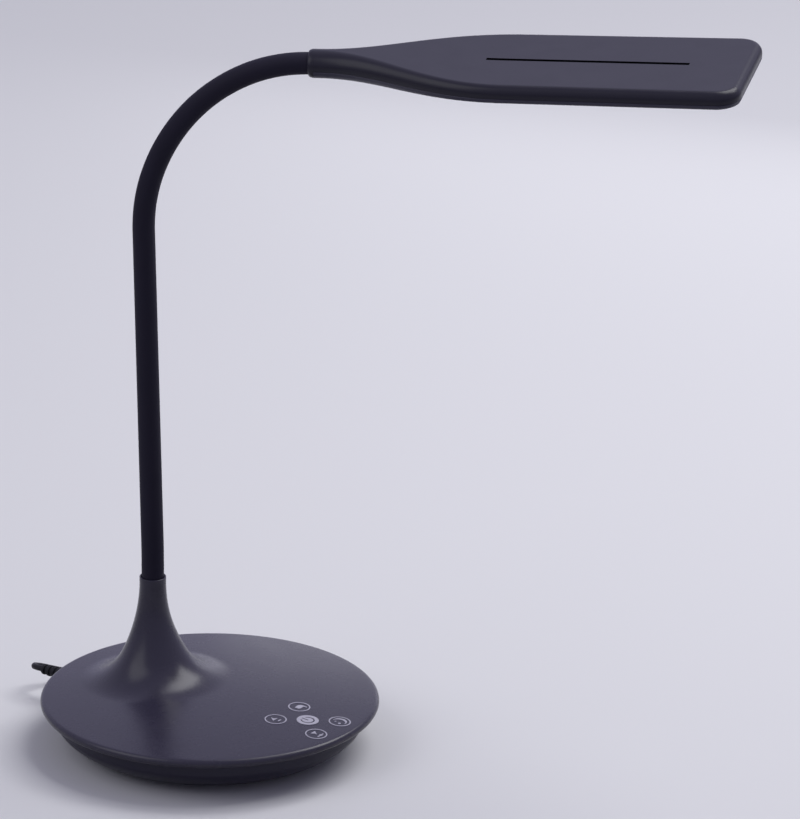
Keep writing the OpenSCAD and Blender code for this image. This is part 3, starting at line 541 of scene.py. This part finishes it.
def lead_route():
    start = coil_point(0) - Vector((0, 2 * CORD_R, 0))
    lead = [Vector(p) for p in LEAD_POINTS] + [start - Vector((0, CORD_R, 0)), start]
    coil = [coil_point(i / TURN_POINTS) for i in range(int(COIL_TURNS * TURN_POINTS) + 1)]
    out = coil[-1]
    drop = COIL_TOP - PLUG_Z
    tail = [Vector((out.x + dx, out.y, COIL_TOP - share * drop))
            for dx, share in ((4, 0.1), (8, 0.5), (12, 0.9))]
    tail += [Vector((PLUG_X - 2 * CORD_R, out.y, PLUG_Z)), Vector((PLUG_X, out.y, PLUG_Z))]
    return smoothed(lead, 5) + coil + smoothed([out] + tail, 4)[1:]


def tube(route, radius, sides):
    """A closed tube along a route, its cross-section kept level."""
    points = []
    for i, at in enumerate(route):
        along = (route[min(i + 1, len(route) - 1)] - route[max(i - 1, 0)]).normalized()
        across = UP.cross(along).normalized()
        rise = along.cross(across)
        points += [at + radius * (cos(a) * across + sin(a) * rise)
                   for a in (2 * pi * (k + 0.5) / sides for k in range(sides))]
    last = (len(route) - 1) * sides
    ends = [tuple(range(sides)), tuple(range(last + sides - 1, last - 1, -1))]
    return points, strips(len(route), sides) + ends


def make_lead():
    route = lead_route()
    length = sum((b - a).length for a, b in zip(route, route[1:]))
    lead = made("lead", LEAD, tube(route, CORD_R, CORD_SIDES), sharp=60)
    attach(lead, "base")
    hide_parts("power_lead", "lead_coil")
    route[0] * MM
    [p * MM for p in route]


# Base: the top cover runs from the riser's mouth over the foot and the dome to the rim and back inside
COLUMNS = 180
dome_x = RIM_R - RIM_ROUND
dome_r = (dome_x ** 2 + DOME_RISE ** 2) / (2 * DOME_RISE)
dome_mid_z = RIM_Z + RIM_ROUND + DOME_RISE - dome_r
edge_x = dome_x / (1 - RIM_ROUND / dome_r)
edge_turn = degrees(asin(edge_x / dome_r))
cavity_r = PAN_R + 2 * FIT
rim_low_z = RIM_Z - RIM_ROUND
flare_z = RISER_TOP - RISER_STRAIGHT
flare_x = RISER_R + FLARE_R
join_turn = STEM_SHARE * FLARE_TURN
join_z = flare_z - FLARE_R * sin(radians(join_turn))
foot_lean = atan(RISER_OFFSET / (join_z - dome_mid_z))
foot_drop = hypot(RISER_OFFSET, join_z - dome_mid_z)


def dome_z(distance, radius=dome_r):
    return dome_mid_z + sqrt(radius ** 2 - distance ** 2)


def leaned(radius, height, share):
    """A ring round the riser. Its axis leans from upright to square with the dome as share grows."""
    lean = foot_lean * share
    up = height - join_z
    ring = []
    for k in range(COLUMNS):
        turn = 2 * pi * k / COLUMNS
        x, y = radius * cos(turn), radius * sin(turn)
        ring.append(Vector((x * cos(lean) - up * sin(lean) - RISER_OFFSET, y,
                            x * sin(lean) + up * cos(lean) + join_z)))
    return ring


def level(radius, height, middle_x=0.0):
    return [Vector((middle_x + radius * cos(2 * pi * k / COLUMNS), radius * sin(2 * pi * k / COLUMNS),
                    height)) for k in range(COLUMNS)]


def toe_arc():
    """The hollow curve that carries the flare's wall out level with the dome: centre and radius."""
    turn = radians(FLARE_TURN)
    x = flare_x - FLARE_R * cos(turn)
    z = flare_z - join_z - FLARE_R * sin(turn) + foot_drop
    radius = (x * x + z * z - dome_r ** 2) / (2 * (dome_r - x * cos(turn) - z * sin(turn)))
    return x + radius * cos(turn), z - foot_drop + radius * sin(turn), radius


def over_dome(first, last, count, radius=dome_r):
    """Rings that go straight from one ring to another in plan, laid on the dome."""
    rings = []
    for share in steps(0, 1, count)[1:]:
        ring = []
        for a, b in zip(first, last):
            x, y = a.x + (b.x - a.x) * share, a.y + (b.y - a.y) * share
            ring.append(Vector((x, y, dome_z(hypot(x, y), radius))))
        rings.append(ring)
    return rings


def cover_rings():
    lip = 0.3
    rings = [level(MOUTH_R, RISER_TOP - MOUTH_DEPTH, -RISER_OFFSET),
             level(MOUTH_R, RISER_TOP - lip, -RISER_OFFSET)]
    for turn in steps(180, 90, 3)[1:]:
        a = radians(turn)
        rings.append(level(MOUTH_R + lip + lip * cos(a), RISER_TOP - lip + lip * sin(a), -RISER_OFFSET))
    for turn in steps(90, 0, 4):
        a = radians(turn)
        rings.append(level(RISER_R - lip + lip * cos(a), RISER_TOP - lip + lip * sin(a), -RISER_OFFSET))
    for turn in steps(0, FLARE_TURN, 20):
        a = radians(turn)
        rings.append(leaned(flare_x - FLARE_R * cos(a), flare_z - FLARE_R * sin(a),
                            ease(turn / FLARE_TURN)))
    toe_x, toe_z, toe_r = toe_arc()
    toe_end = 90 - degrees(atan(toe_x / (toe_z + foot_drop)))
    for turn in steps(FLARE_TURN, toe_end, 22)[1:]:
        a = radians(turn)
        rings.append(leaned(toe_x - toe_r * cos(a), join_z + toe_z - toe_r * sin(a), 1))
    rings += over_dome(rings[-1], level(edge_x, 0), 26)
    for turn in steps(90 - edge_turn, -90, 16)[1:]:
        a = radians(turn)
        rings.append(level(dome_x + RIM_ROUND * cos(a), RIM_Z + RIM_ROUND * sin(a)))
    inner_r = dome_r - COVER_WALL
    rings += [level(cavity_r + 0.2, rim_low_z), level(cavity_r, rim_low_z + 0.2),
              level(cavity_r, dome_z(cavity_r, inner_r))]
    rings += over_dome(rings[-1], level(SKIRT_R, 0, -RISER_OFFSET), 10, inner_r)
    for radius, height in ((SKIRT_R, SKIRT_Z), (NUT_ROOM_R, SEAT_Z - NUT_ROOM_H), (NUT_ROOM_R, SEAT_Z),
                           (BORE_R, SEAT_Z), (BORE_R, RISER_TOP - MOUTH_DEPTH)):
        rings.append(level(radius, height, -RISER_OFFSET))
    return rings


def post(at, radius, from_z):
    """A screw post under the dome, with its pilot hole."""
    top_z = RIM_Z + RIM_ROUND + DOME_RISE - COVER_WALL
    profile = [(PILOT_R, from_z), (radius, from_z), (radius, top_z), (0, top_z),
               (0, top_z - PILOT_ROOF), (PILOT_R, top_z - PILOT_ROOF)]
    return turned(profile, POST_SIDES, lambda p: Vector((p[0] + at[0], p[1] + at[1], p[2])))


def make_cover():
    rings = cover_rings()
    skin = [p for ring in rings for p in ring], strips(len(rings), COLUMNS, rings_close=True)
    reach = POST_RING_R * cos(radians(45))
    posts = [post((x, y), POST_R, POST_Z) for x in (-reach, reach) for y in (-reach, reach)]
    posts += [post((BOARD_POST_X, y), BOARD_POST_R, BOARD_POST_Z)
              for y in (-BOARD_POST_Y, BOARD_POST_Y)]
    cover = made("top_cover", CHARCOAL, skin, *posts)
    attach(cover, "base")
    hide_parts("base_top_cover")


def pan_point(turn, inset):
    return (PAN_FOOT_R + (PAN_R - inset - PAN_FOOT_R) * max(cos(turn), 0) ** PAN_POWER,
            PAN_BEND_Z + (FOOT_PROUD + inset - PAN_BEND_Z) * sin(turn) ** PAN_POWER)


def make_pan():
    outer = [pan_point(radians(t), 0) for t in steps(90, 0, 44)]
    inner = [pan_point(radians(t), PAN_WALL) for t in steps(0, 90, 30)]
    recess = [(0, PAD_T), (PAD_R + FIT, PAD_T), (PAD_R + FIT, FOOT_PROUD)]
    profile = recess + outer + [(PAN_R, RIM_Z), (PAN_R - PAN_WALL, RIM_Z)] + inner
    profile.append((0, FOOT_PROUD + PAN_WALL))
    pan = made("lower_pan", TRIM, turned(profile, COLUMNS))
    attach(pan, "base")
    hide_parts("base_pan")


# Strain relief: a tapered core, and ribs that a small node tree sets along it
def rib_tree(finish):
    """Node tree that adds rounded ribs along Z to the core it is given."""
    tree = bpy.data.node_groups.new("ribs_along_a_taper", "GeometryNodeTree")
    sizes = {}
    for name, kind in (("Core", "NodeSocketGeometry"), ("Count", "NodeSocketInt"),
                       ("First", "NodeSocketFloat"), ("Pitch", "NodeSocketFloat"),
                       ("Root Radius", "NodeSocketFloat"), ("Tip Radius", "NodeSocketFloat"),
                       ("Width", "NodeSocketFloat"), ("Depth", "NodeSocketFloat")):
        sizes[name] = tree.interface.new_socket(name, in_out="INPUT", socket_type=kind).identifier
    tree.interface.new_socket("Ribbed", in_out="OUTPUT", socket_type="NodeSocketGeometry")
    nodes = Nodes(tree)
    group_in = tree.nodes.new("NodeGroupInput")
    given = {name: Number(tree, group_in.outputs[name]) for name in sizes}
    start = nodes.node("ShaderNodeCombineXYZ", {"Z": given["First"]})
    offset = nodes.node("ShaderNodeCombineXYZ", {"Z": given["Pitch"]})
    places = nodes.node("GeometryNodeMeshLine",
                        {"Count": given["Count"], "Start Location": start, "Offset": offset})
    outline = nodes.node("GeometryNodeCurvePrimitiveQuadrilateral",
                         {"Width": given["Depth"], "Height": given["Width"]})
    rounded = nodes.node("GeometryNodeFilletCurve",
                         {"Curve": outline, "Radius": given["Depth"] * 0.35, "Count": 4}, mode="POLY")
    hoop = nodes.node("GeometryNodeCurvePrimitiveCircle",
                      {"Resolution": RELIEF_SIDES, "Radius": given["Root Radius"] - given["Depth"] * 0.5})
    rib = nodes.node("GeometryNodeCurveToMesh", {"Curve": hoop, "Profile Curve": rounded})
    along = (nodes.node("GeometryNodeInputIndex") + 1) / given["Count"]
    size = 1 - along * (1 - given["Tip Radius"] / given["Root Radius"])
    scale = nodes.node("ShaderNodeCombineXYZ", {"X": size, "Y": size, "Z": 1})
    ribs = nodes.node("GeometryNodeInstanceOnPoints",
                      {"Points": places, "Instance": rib, "Scale": scale})
    solid = nodes.node("GeometryNodeRealizeInstances", {"Geometry": ribs})
    smooth = nodes.node("GeometryNodeSetShadeSmooth", {"Geometry": solid})
    both = tree.nodes.new("GeometryNodeJoinGeometry")
    for part in (smooth, given["Core"]):
        tree.links.new(part.socket, both.inputs[0])
    coloured = nodes.node("GeometryNodeSetMaterial",
                          {"Geometry": Number(tree, both.outputs[0]), "Material": finish})
    group_out = tree.nodes.new("NodeGroupOutput")
    tree.links.new(coloured.socket, group_out.inputs[0])
    return tree, sizes


def with_nodes(obj, tree, identifiers, values):
    """The object after the tree has worked on it, as a plain mesh."""
    modifier = obj.modifiers.new("shape", "NODES")
    modifier.node_group = tree
    for name, value in values.items():
        modifier[identifiers[name]] = value
    bpy.context.view_layer.update()
    shaped = obj.evaluated_get(bpy.context.evaluated_depsgraph_get())
    mesh = bpy.data.meshes.new_from_object(shaped)
    obj.modifiers.remove(modifier)
    obj.data = mesh
    return obj


def make_relief():
    pitch = (RELIEF_TIP - RELIEF_FROM) / RELIEF_RIBS
    inner_x = PAN_R - PAN_WALL - RELIEF_FLANGE_IN
    flange_r = RELIEF_NECK_R + RELIEF_FLANGE_STEP
    last_rib = RELIEF_TIP - pitch / 2
    round_r = 0.6
    chamfer, rib_proud, rib_sunk = 0.2, 0.2, 0.5
    tip = [(RELIEF_TIP_R - round_r + round_r * cos(radians(t)),
            RELIEF_TIP - round_r + round_r * sin(radians(t))) for t in steps(0, 90, 6)]
    profile = [(CORD_R, inner_x - RELIEF_FLANGE_T), (RELIEF_NECK_R, inner_x - RELIEF_FLANGE_T),
               (flange_r, inner_x), (flange_r, inner_x + RELIEF_FLANGE_T),
               (RELIEF_NECK_R, inner_x + RELIEF_FLANGE_T), (RELIEF_NECK_R, RELIEF_FROM),
               (RELIEF_ROOT_R - RELIEF_GROOVE, RELIEF_FROM), (RELIEF_TIP_R - RELIEF_GROOVE, last_rib),
               (RELIEF_TIP_R - chamfer, last_rib), (RELIEF_TIP_R, last_rib + chamfer)]
    profile += tip + [(CORD_R, RELIEF_TIP)]
    relief = made("strain_relief_ribbed", RELIEF, turned(profile, RELIEF_SIDES))
    values = {"Count": RELIEF_RIBS - 1, "First": (RELIEF_FROM + pitch * 0.75) * MM, "Pitch": pitch * MM,
              "Root Radius": RELIEF_ROOT_R * MM, "Tip Radius": (RELIEF_TIP_R + rib_proud) * MM,
              "Width": pitch * 0.5 * MM, "Depth": (RELIEF_GROOVE + rib_sunk) * MM}
    tree, identifiers = rib_tree(RELIEF)
    with_nodes(relief, tree, identifiers, values)
    for vertex in relief.data.vertices:
        x, y, z = vertex.co
        vertex.co = (-z, y, x + RELIEF_Z * MM)
    tidy = bmesh.new()
    tidy.from_mesh(relief.data)
    bmesh.ops.recalc_face_normals(tidy, faces=tidy.faces)
    tidy.to_mesh(relief.data)
    tidy.free()
    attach(relief, "base")
    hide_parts("strain_relief")


# Gooseneck: one smooth path in the arm's plane, sleeved in eight lengths that join without a step
ARM = Vector((cos(radians(ARM_TURN)), sin(radians(ARM_TURN)), 0))
ARM_SIDE = Vector((-sin(radians(ARM_TURN)), cos(radians(ARM_TURN)), 0))
TOTAL_LEN = UPRIGHT_LEN + CURVE_LEN
LOWER_LINK = (UPRIGHT_LEN - ENTRY_LEN) / 4
UPPER_LINK = CURVE_LEN / 4
JOINT_AT = [ENTRY_LEN + LOWER_LINK * i for i in range(4)]
JOINT_AT += [UPRIGHT_LEN + UPPER_LINK * i for i in range(4)]
ARCH = 90 - HEAD_TILT + LEAN
KINK_HALF = 10
PATH_STEP = 0.25


def heading(s):
    """Lean of the gooseneck's line at a distance along it, towards the head."""
    turn = -LEAN * ease((s - ENTRY_LEN + KINK_HALF) / (2 * KINK_HALF))
    for at, share in zip(JOINT_AT[4:], ARCH_SHARES):
        turn += ARCH * share * min(max((s - at) / UPPER_LINK, 0), 1)
    return radians(turn)


def neck_path():
    points = [Vector((-RISER_OFFSET, 0, RISER_TOP))]
    for i in range(int(TOTAL_LEN / PATH_STEP)):
        turn = heading((i + 0.5) * PATH_STEP)
        points.append(points[-1] + PATH_STEP * (sin(turn) * ARM + cos(turn) * UP))
    return points


NECK_PATH = neck_path()


def neck_point(s):
    if s < 0:
        return NECK_PATH[0] + s * UP
    place = min(s / PATH_STEP, len(NECK_PATH) - 1)
    low = int(place)
    high = min(low + 1, len(NECK_PATH) - 1)
    return NECK_PATH[low].lerp(NECK_PATH[high], place - low)


def sleeve_part(from_s, to_s):
    """A closed length of tube along the gooseneck, its ends cut square."""
    count = max(int((to_s - from_s) / SLEEVE_STEP), 2)
    rings = []
    for radius, stations in ((SLEEVE_R, steps(from_s, to_s, count)),
                             (SLEEVE_R - SLEEVE_WALL, steps(to_s, from_s, count))):
        for s in stations:
            turn = heading(s)
            out = cos(turn) * ARM - sin(turn) * UP
            rings.append([neck_point(s) + radius * (cos(a) * out + sin(a) * ARM_SIDE)
                          for a in (2 * pi * k / SLEEVE_SIDES for k in range(SLEEVE_SIDES))])
    return [p for ring in rings for p in ring], strips(len(rings), SLEEVE_SIDES, rings_close=True)


def make_sleeves():
    half_lower, half_upper = LOWER_LINK / 2, UPPER_LINK / 2
    cuts = [-MOUTH_TUCK] + [at + half_lower for at in JOINT_AT[:4]]
    cuts += [at + half_upper for at in JOINT_AT[4:7]] + [TOTAL_LEN]
    bend_half = 13
    for number, at in enumerate(JOINT_AT, 1):
        sleeve = made(f"sleeve_length_{number}", SLEEVE, sleeve_part(cuts[number - 1], cuts[number]))
        neck_point(at - bend_half) * MM
        neck_point(at + bend_half) * MM
        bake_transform(sleeve)
        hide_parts(f"sleeve_{number}")


# Head: X runs from the collar to the tip and Z is up, in its own frame
END_TURN = heading(TOTAL_LEN)
HEAD_AT = neck_point(TOTAL_LEN)
HEAD_X = sin(END_TURN) * ARM + cos(END_TURN) * UP
HEAD_Z = sin(END_TURN) * UP - cos(END_TURN) * ARM


def in_head(point):
    x, y, z = point
    return HEAD_AT + x * HEAD_X + y * ARM_SIDE + z * HEAD_Z


def along_head(point):
    """For what is turned round the neck's line: height becomes distance from the collar."""
    x, y, z = point
    return in_head((z, y, x))


def graded(neck_value, panel_value, x):
    return neck_value + (panel_value - neck_value) * ease((x - NECK_LEN) / (TAPER_LEN - NECK_LEN))


def taper_point(t):
    span = TAPER_LEN - NECK_LEN
    hull = ((NECK_LEN, NECK_R), (NECK_LEN + NECK_PULL[0] * span, NECK_R * NECK_PULL[1]),
            (TAPER_LEN - PANEL_PULL[0] * span, PANEL_HALF * PANEL_PULL[1]), (TAPER_LEN, PANEL_HALF))
    shares = ((1 - t) ** 3, 3 * t * (1 - t) ** 2, 3 * t * t * (1 - t), t ** 3)
    return tuple(sum(share * p[i] for share, p in zip(shares, hull)) for i in (0, 1))


HOLLOW_X = taper_point(HOLLOW_SHARE)[0]


def taper_at(x):
    low, high = 0.0, 1.0
    for _ in range(40):
        middle = (low + high) / 2
        if taper_point(middle)[0] < x:
            low = middle
        else:
            high = middle
    return x, taper_point(high)[1]


def head_stations():
    """Outline points from the collar to the middle of the tip, each with its inward direction."""
    corner_x = HEAD_LEN - HEAD_CORNER
    tapered = [taper_point(t) for t in steps(0, 1, 40)]
    tapered += [taper_at(x) for x in (HOLLOW_X + 0.01, SLOT_FROM, WINDOW_FROM)]
    stations = [(x, y, 0, -1) for x, y in [(LIP_X, NECK_R)] + sorted(tapered)]
    for x in sorted(steps(TAPER_LEN, corner_x, 16)[1:] + [SLOT_FROM + SLOT_LEN]):
        share = (x - TAPER_LEN) / (corner_x - TAPER_LEN)
        stations.append((x, PANEL_HALF + (TIP_HALF - PANEL_HALF) * share, 0, -1))
    window_turn = 90 - degrees(asin((WINDOW_TO - corner_x) / (HEAD_CORNER - LOW_ROLL)))
    for turn in sorted(steps(90, 0, 15)[1:] + [window_turn], reverse=True):
        c, s = cos(radians(turn)), sin(radians(turn))
        stations.append((corner_x + HEAD_CORNER * c, TIP_HALF - HEAD_CORNER + HEAD_CORNER * s, -c, -s))
    stations += [(HEAD_LEN, y, -1, 0) for y in steps(TIP_HALF - HEAD_CORNER, 0, 5)[1:]]
    return stations


def side_point(station, z_or_turn, wall, by_height=False, shift=0.0):
    """A point of the rolled side at one station, by its angle or its height.

    The inside of the neck, up to HOLLOW_X, is a round bore."""
    x, y, nx, ny = station
    if wall and x <= HOLLOW_X:
        turn = asin(z_or_turn / CUFF_BORE) if by_height else radians(z_or_turn)
        return x, CUFF_BORE * cos(turn), CUFF_BORE * sin(turn)
    high = graded(NECK_R, HEAD_HALF_T, x) - wall
    turn = asin(z_or_turn / high) if by_height else radians(z_or_turn)
    roll = graded(NECK_R, ROLL_W if turn > 0 else LOW_ROLL, x) - wall
    move = wall + roll * (1 - cos(turn)) + shift
    return x + nx * move, max(y + ny * move, 0), high * sin(turn)


def arch(station, up, wall, edge, cap_y):
    """One arch of a shell, from the seam on one side over to the seam on the other.

    edge is (height of the seam, size of its chamfer), and cap_y tells the flat's columns from its
    half width and the station's x."""
    seam, chamfer = edge
    far = 90 if up else -90
    way = 1 if up else -1
    side = [side_point(station, seam, wall, True, chamfer),
            side_point(station, seam + way * chamfer, wall, True)]
    if wall and station[0] <= HOLLOW_X:
        reach = CUFF_BORE
    else:
        reach = graded(NECK_R, HEAD_HALF_T, station[0]) - wall
    bend = degrees(asin(side[1][2] / reach))
    if up:
        side += [side_point(station, t, wall) for t in steps(bend, 0, 3)[1:] + steps(0, far, 14)[1:]]
    else:
        side += [side_point(station, t, wall) for t in steps(bend, far, 14)[1:]]
    x, half, z = side[-1]
    columns = cap_y(half, x)
    cap = [(x, y, z) for y in columns + [-y for y in reversed(columns)]]
    return side + cap + [(px, -py, pz) for px, py, pz in reversed(side)]


def slot_columns(half, x):
    inner = min(SLOT_W / 2, half / 2)
    return [inner + (half - inner) * share for share in (0.96, 0.5, 0)]


def window_columns(half, x):
    inside = WINDOW_FROM - 0.01 <= x <= WINDOW_TO + 0.01
    inner = WINDOW_HALF if inside else min(WINDOW_HALF, half * 0.86)
    return [inner + (half - inner) * share for share in (0.8, 0)]


def shell(up, edge, cap_y, opening):
    """A shell of the head: arches at every station, an outer and an inner one, with an opening."""
    stations = head_stations()
    inner_edge = (edge[0], 0.0)
    outer = [arch(s, up, 0, edge, cap_y) for s in stations]
    inner = [arch(s, up, HEAD_WALL, inner_edge, cap_y) for s in stations]
    width = len(outer[0])
    ring_len = 2 * width
    points = [in_head(p) for a, b in zip(outer, inner) for p in a + b[::-1]]
    left = width // 2 - 1
    open_from, open_to = opening
    rows = [j for j, a in enumerate(outer) if open_from - 0.02 <= a[left][0] <= open_to + 0.02]

    def at(j, i, inside=False):
        return j * ring_len + (ring_len - 1 - i if inside else i)

    gaps = {frozenset((at(j, i, side), at(j, i + 1, side), at(j + 1, i + 1, side), at(j + 1, i, side)))
            for j in rows[:-1] for i in (left,) for side in (False, True)}
    faces = [f for f in strips(len(stations), ring_len) if frozenset(f) not in gaps]
    for j in rows[:-1]:
        for i in (left, left + 1):
            faces.append((at(j, i), at(j + 1, i), at(j + 1, i, True), at(j, i, True)))
    for j in (rows[0], rows[-1]):
        faces.append((at(j, left), at(j, left + 1), at(j, left + 1, True), at(j, left, True)))
    for i in range(width - 1):
        faces.append((at(0, i), at(0, i + 1), at(0, i + 1, True), at(0, i, True)))
    return points, faces


def boss(profile, y):
    return turned(profile, BOSS_SIDES, lambda p: in_head((p[0] + SCREW_X, p[1] + y, p[2])))


def cut_out(obj, *tools):
    """Takes the tools' volume out of the object, for good."""
    for tool in tools:
        cut = obj.modifiers.new("cut", "BOOLEAN")
        cut.operation = "DIFFERENCE"
        cut.solver = "EXACT"
        cut.object = tool
    bpy.context.view_layer.update()
    shaped = obj.evaluated_get(bpy.context.evaluated_depsgraph_get())
    mesh = bpy.data.meshes.new_from_object(shaped)
    obj.modifiers.clear()
    obj.data = mesh
    for tool in tools:
        bpy.data.objects.remove(tool)


def add_parts(obj, *parts):
    """Adds closed parts to a finished mesh."""
    extra = made("extra", obj.data.materials[0], *parts)
    form = bmesh.new()
    form.from_mesh(obj.data)
    form.from_mesh(extra.data)
    form.to_mesh(obj.data)
    form.free()
    bpy.data.objects.remove(extra)


def blacken_slot(top):
    """Gives the top shell's own faces on the slot's side walls the near-black liner finish."""
    top.data.materials.append(LINER)
    for face in top.data.polygons:
        from_head = [top.data.vertices[i].co / MM - HEAD_AT for i in face.vertices]
        inside = all(SLOT_FROM - 0.02 < p.dot(HEAD_X) < SLOT_FROM + SLOT_LEN + 0.02
                     and abs(p.dot(ARM_SIDE)) < SLOT_W / 2 + 0.1 for p in from_head)
        if inside and abs(face.normal.dot(HEAD_Z)) < 0.5:
            face.material_index = 1


def make_head():
    half_t = graded(NECK_R, HEAD_HALF_T, SCREW_X)
    boss_top = half_t - HEAD_WALL / 2
    column = [(SCREW_HEAD_R, SEAM_Z), (SCREW_HEAD_R, boss_top), (0, boss_top),
              (0, boss_top - PILOT_ROOF), (PILOT_R, boss_top - PILOT_ROOF), (PILOT_R, SEAM_Z)]
    # The top shell wears the darker charcoal, a painted shade.
    top = made("head_top", SHADED_HEAD_CHARCOAL,
               shell(True, (SEAM_Z, 0.3), slot_columns, (SLOT_FROM, SLOT_FROM + SLOT_LEN)),
               boss(column, -SCREW_Y), boss(column, SCREW_Y))
    blacken_slot(top)
    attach(top, "head")
    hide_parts("head_top_shell")

    # The lower bezel wears the lighter charcoal, painted bounce light from the table.
    lower = made("head_lower", BAND_PAINTED_BOUNCE,
                 shell(False, (SEAM_Z - SEAM_GAP, 0.35), window_columns, (WINDOW_FROM, WINDOW_TO)))
    pit_r = SCREW_HEAD_R + FIT
    pit_low, pit_high = -half_t - 2, -half_t + SCREW_DEEP - 0.1
    pit = [(pit_r, pit_low), (0, pit_low), (0, pit_high), (pit_r, pit_high)]
    cut_out(lower, *[made("pit", BAND_PAINTED_BOUNCE, boss(pit, y)) for y in (-SCREW_Y, SCREW_Y)])
    cup_r = SCREW_HEAD_R + CUP_WALL
    cup_low, cup_high, floor_z = -half_t + 0.4, SEAM_Z - 0.1, -half_t + SCREW_DEEP
    cup = [(pit_r, cup_low), (cup_r, cup_low), (cup_r, cup_high), (SCREW_HOLE_R, cup_high),
           (SCREW_HOLE_R, floor_z), (pit_r, floor_z)]
    add_parts(lower, boss(cup, -SCREW_Y), boss(cup, SCREW_Y))
    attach(lower, "head")
    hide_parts("head_bezel")


def make_collar():
    bend = [(NECK_R - LIP_ROUND_R * (1 - cos(radians(t))), LIP_ROUND_X * (1 - sin(radians(t))))
            for t in steps(0, 90, 14)]
    profile = [(RECESS_R, LIP_X - 0.02), (NECK_R, LIP_X - 0.02)] + bend + [(RECESS_R, 0)]
    # The collar wears the darker charcoal, a painted shade.
    collar = made("neck_collar", SHADED_HEAD_CHARCOAL, turned(profile, COLLAR_SIDES, along_head))
    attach(collar, "head")
    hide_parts("collar_ring")


# Finishes of the pieces that keep their own shape
KEPT = (
    (PAD, ("foot_pad",)),
    (IRON, ("ballast_plate",)),
    (STEEL, ("ballast_screws", "pan_screws", "board_screws", "riser_washer", "lock_nut", "head_screws",
             "neck_clip", "plug_shell")),
    (BOARD, ("touch_board", "led_strips")),
    (CHIP, ("board_parts",)),
    (BRASS, ("touch_springs", "lower_bush", "upper_bush")),
    (PRINT, ("mark_power", "mark_night", "mark_warmth", "mark_dimmer", "mark_brighter")),
    (LEAD, ("inner_lead", "riser_lead", "head_lead")),
    (LINER, ("slot_liner",)),
    (HOSE, tuple(f"core_{i}" for i in range(9))),
    (ALUMINIUM, ("heat_plate",)),
    (SHEET, ("reflector_sheet",)),
    (GUIDE, ("light_guide",)),
    (OPAL, ("lens_panel",)),
    (PHOSPHOR, ("leds",)),
    (TIE, ("lead_tie",)),
    (PLUG, ("plug_body",)),
    (TONGUE, ("plug_tongue",)),
)


def dress_kept_pieces():
    for finish, names in KEPT:
        for name in names:
            mesh = frame["nodes"][name].data
            if mesh.materials:
                for i in range(len(mesh.materials)):
                    mesh.materials[i] = finish
            else:
                mesh.materials.append(finish)


# Floor, sky and lamps
FLOOR_HALF = 9000
PALE = srgb(226, 226, 229)
DIM = srgb(160, 159, 163)
SKY_LEVEL = 0.3
SKY_SEEN = 0.72
SKY_TINT = srgb(226, 224, 255)


def make_floor():
    finish = Finish("pale_floor")
    path = {name: finish.node("ShaderNodeLightPath", output=name)
            for name in ("Is Camera Ray", "Is Glossy Ray", "Is Transmission Ray")}
    seen = path["Is Camera Ray"] + path["Is Glossy Ray"] + path["Is Transmission Ray"]
    finish.set(Base_Color=finish.between(seen, DIM, PALE), Roughness=0.9, Specular_IOR_Level=0.0)
    below = finish.node("ShaderNodeNewGeometry", output="Backfacing")
    through = finish.node("ShaderNodeBsdfTransparent")
    shown = finish.node("ShaderNodeMixShader", {
        0: below, 1: Number(finish.tree, finish.shader.outputs[0]), 2: through})
    finish.tree.links.new(shown.socket, finish.tree.nodes["Material Output"].inputs["Surface"])
    h = FLOOR_HALF
    mesh = bpy.data.meshes.new("floor")
    mesh.from_pydata([Vector(p) * MM for p in ((-h, -h, 0), (h, -h, 0), (h, h, 0), (-h, h, 0))], [],
                     [(0, 1, 2, 3)])
    mesh.materials.append(finish.material)
    floor = bpy.data.objects.new("floor", mesh)
    scene.collection.objects.link(floor)


def make_sky():
    world = bpy.data.worlds.new("studio")
    scene.world = world
    world.use_nodes = True
    sky = Nodes(world.node_tree)
    seen = (sky.node("ShaderNodeLightPath", output="Is Camera Ray")
            + sky.node("ShaderNodeLightPath", output="Is Glossy Ray")
            + sky.node("ShaderNodeLightPath", output="Is Transmission Ray"))
    background = world.node_tree.nodes["Background"]
    sky.feed(background.inputs["Color"], SKY_TINT)
    sky.feed(background.inputs["Strength"], SKY_LEVEL + seen * (SKY_SEEN - SKY_LEVEL))


def soft_lamp(name, across, away, up, wide, high, share):
    """A soft box aimed at the lamp's middle. share is the part of full light on a level face."""
    target = Vector((0, 0, 150))
    offset = RIGHT * across + AWAY * away + UP * up
    distance = offset.length * MM
    data = bpy.data.lights.new(name, "AREA")
    data.shape = "RECTANGLE"
    data.size, data.size_y = wide * MM, high * MM
    data.energy = share * pi * pi * distance ** 2 * offset.length / up
    lamp = bpy.data.objects.new(name, data)
    aim(lamp, target + offset, -offset)


make_relief()
make_lead()
make_cover()
make_pan()
make_sleeves()
make_head()
make_collar()
dress_kept_pieces()
make_floor()
make_sky()
soft_lamp("key", 900, 500, 1500, 1300, 1300, 0.62)
soft_lamp("fill", -1400, -600, 1300, 1500, 1500, 0.14)
soft_lamp("back", 275, 900, 60, 550, 260, 0.0018)
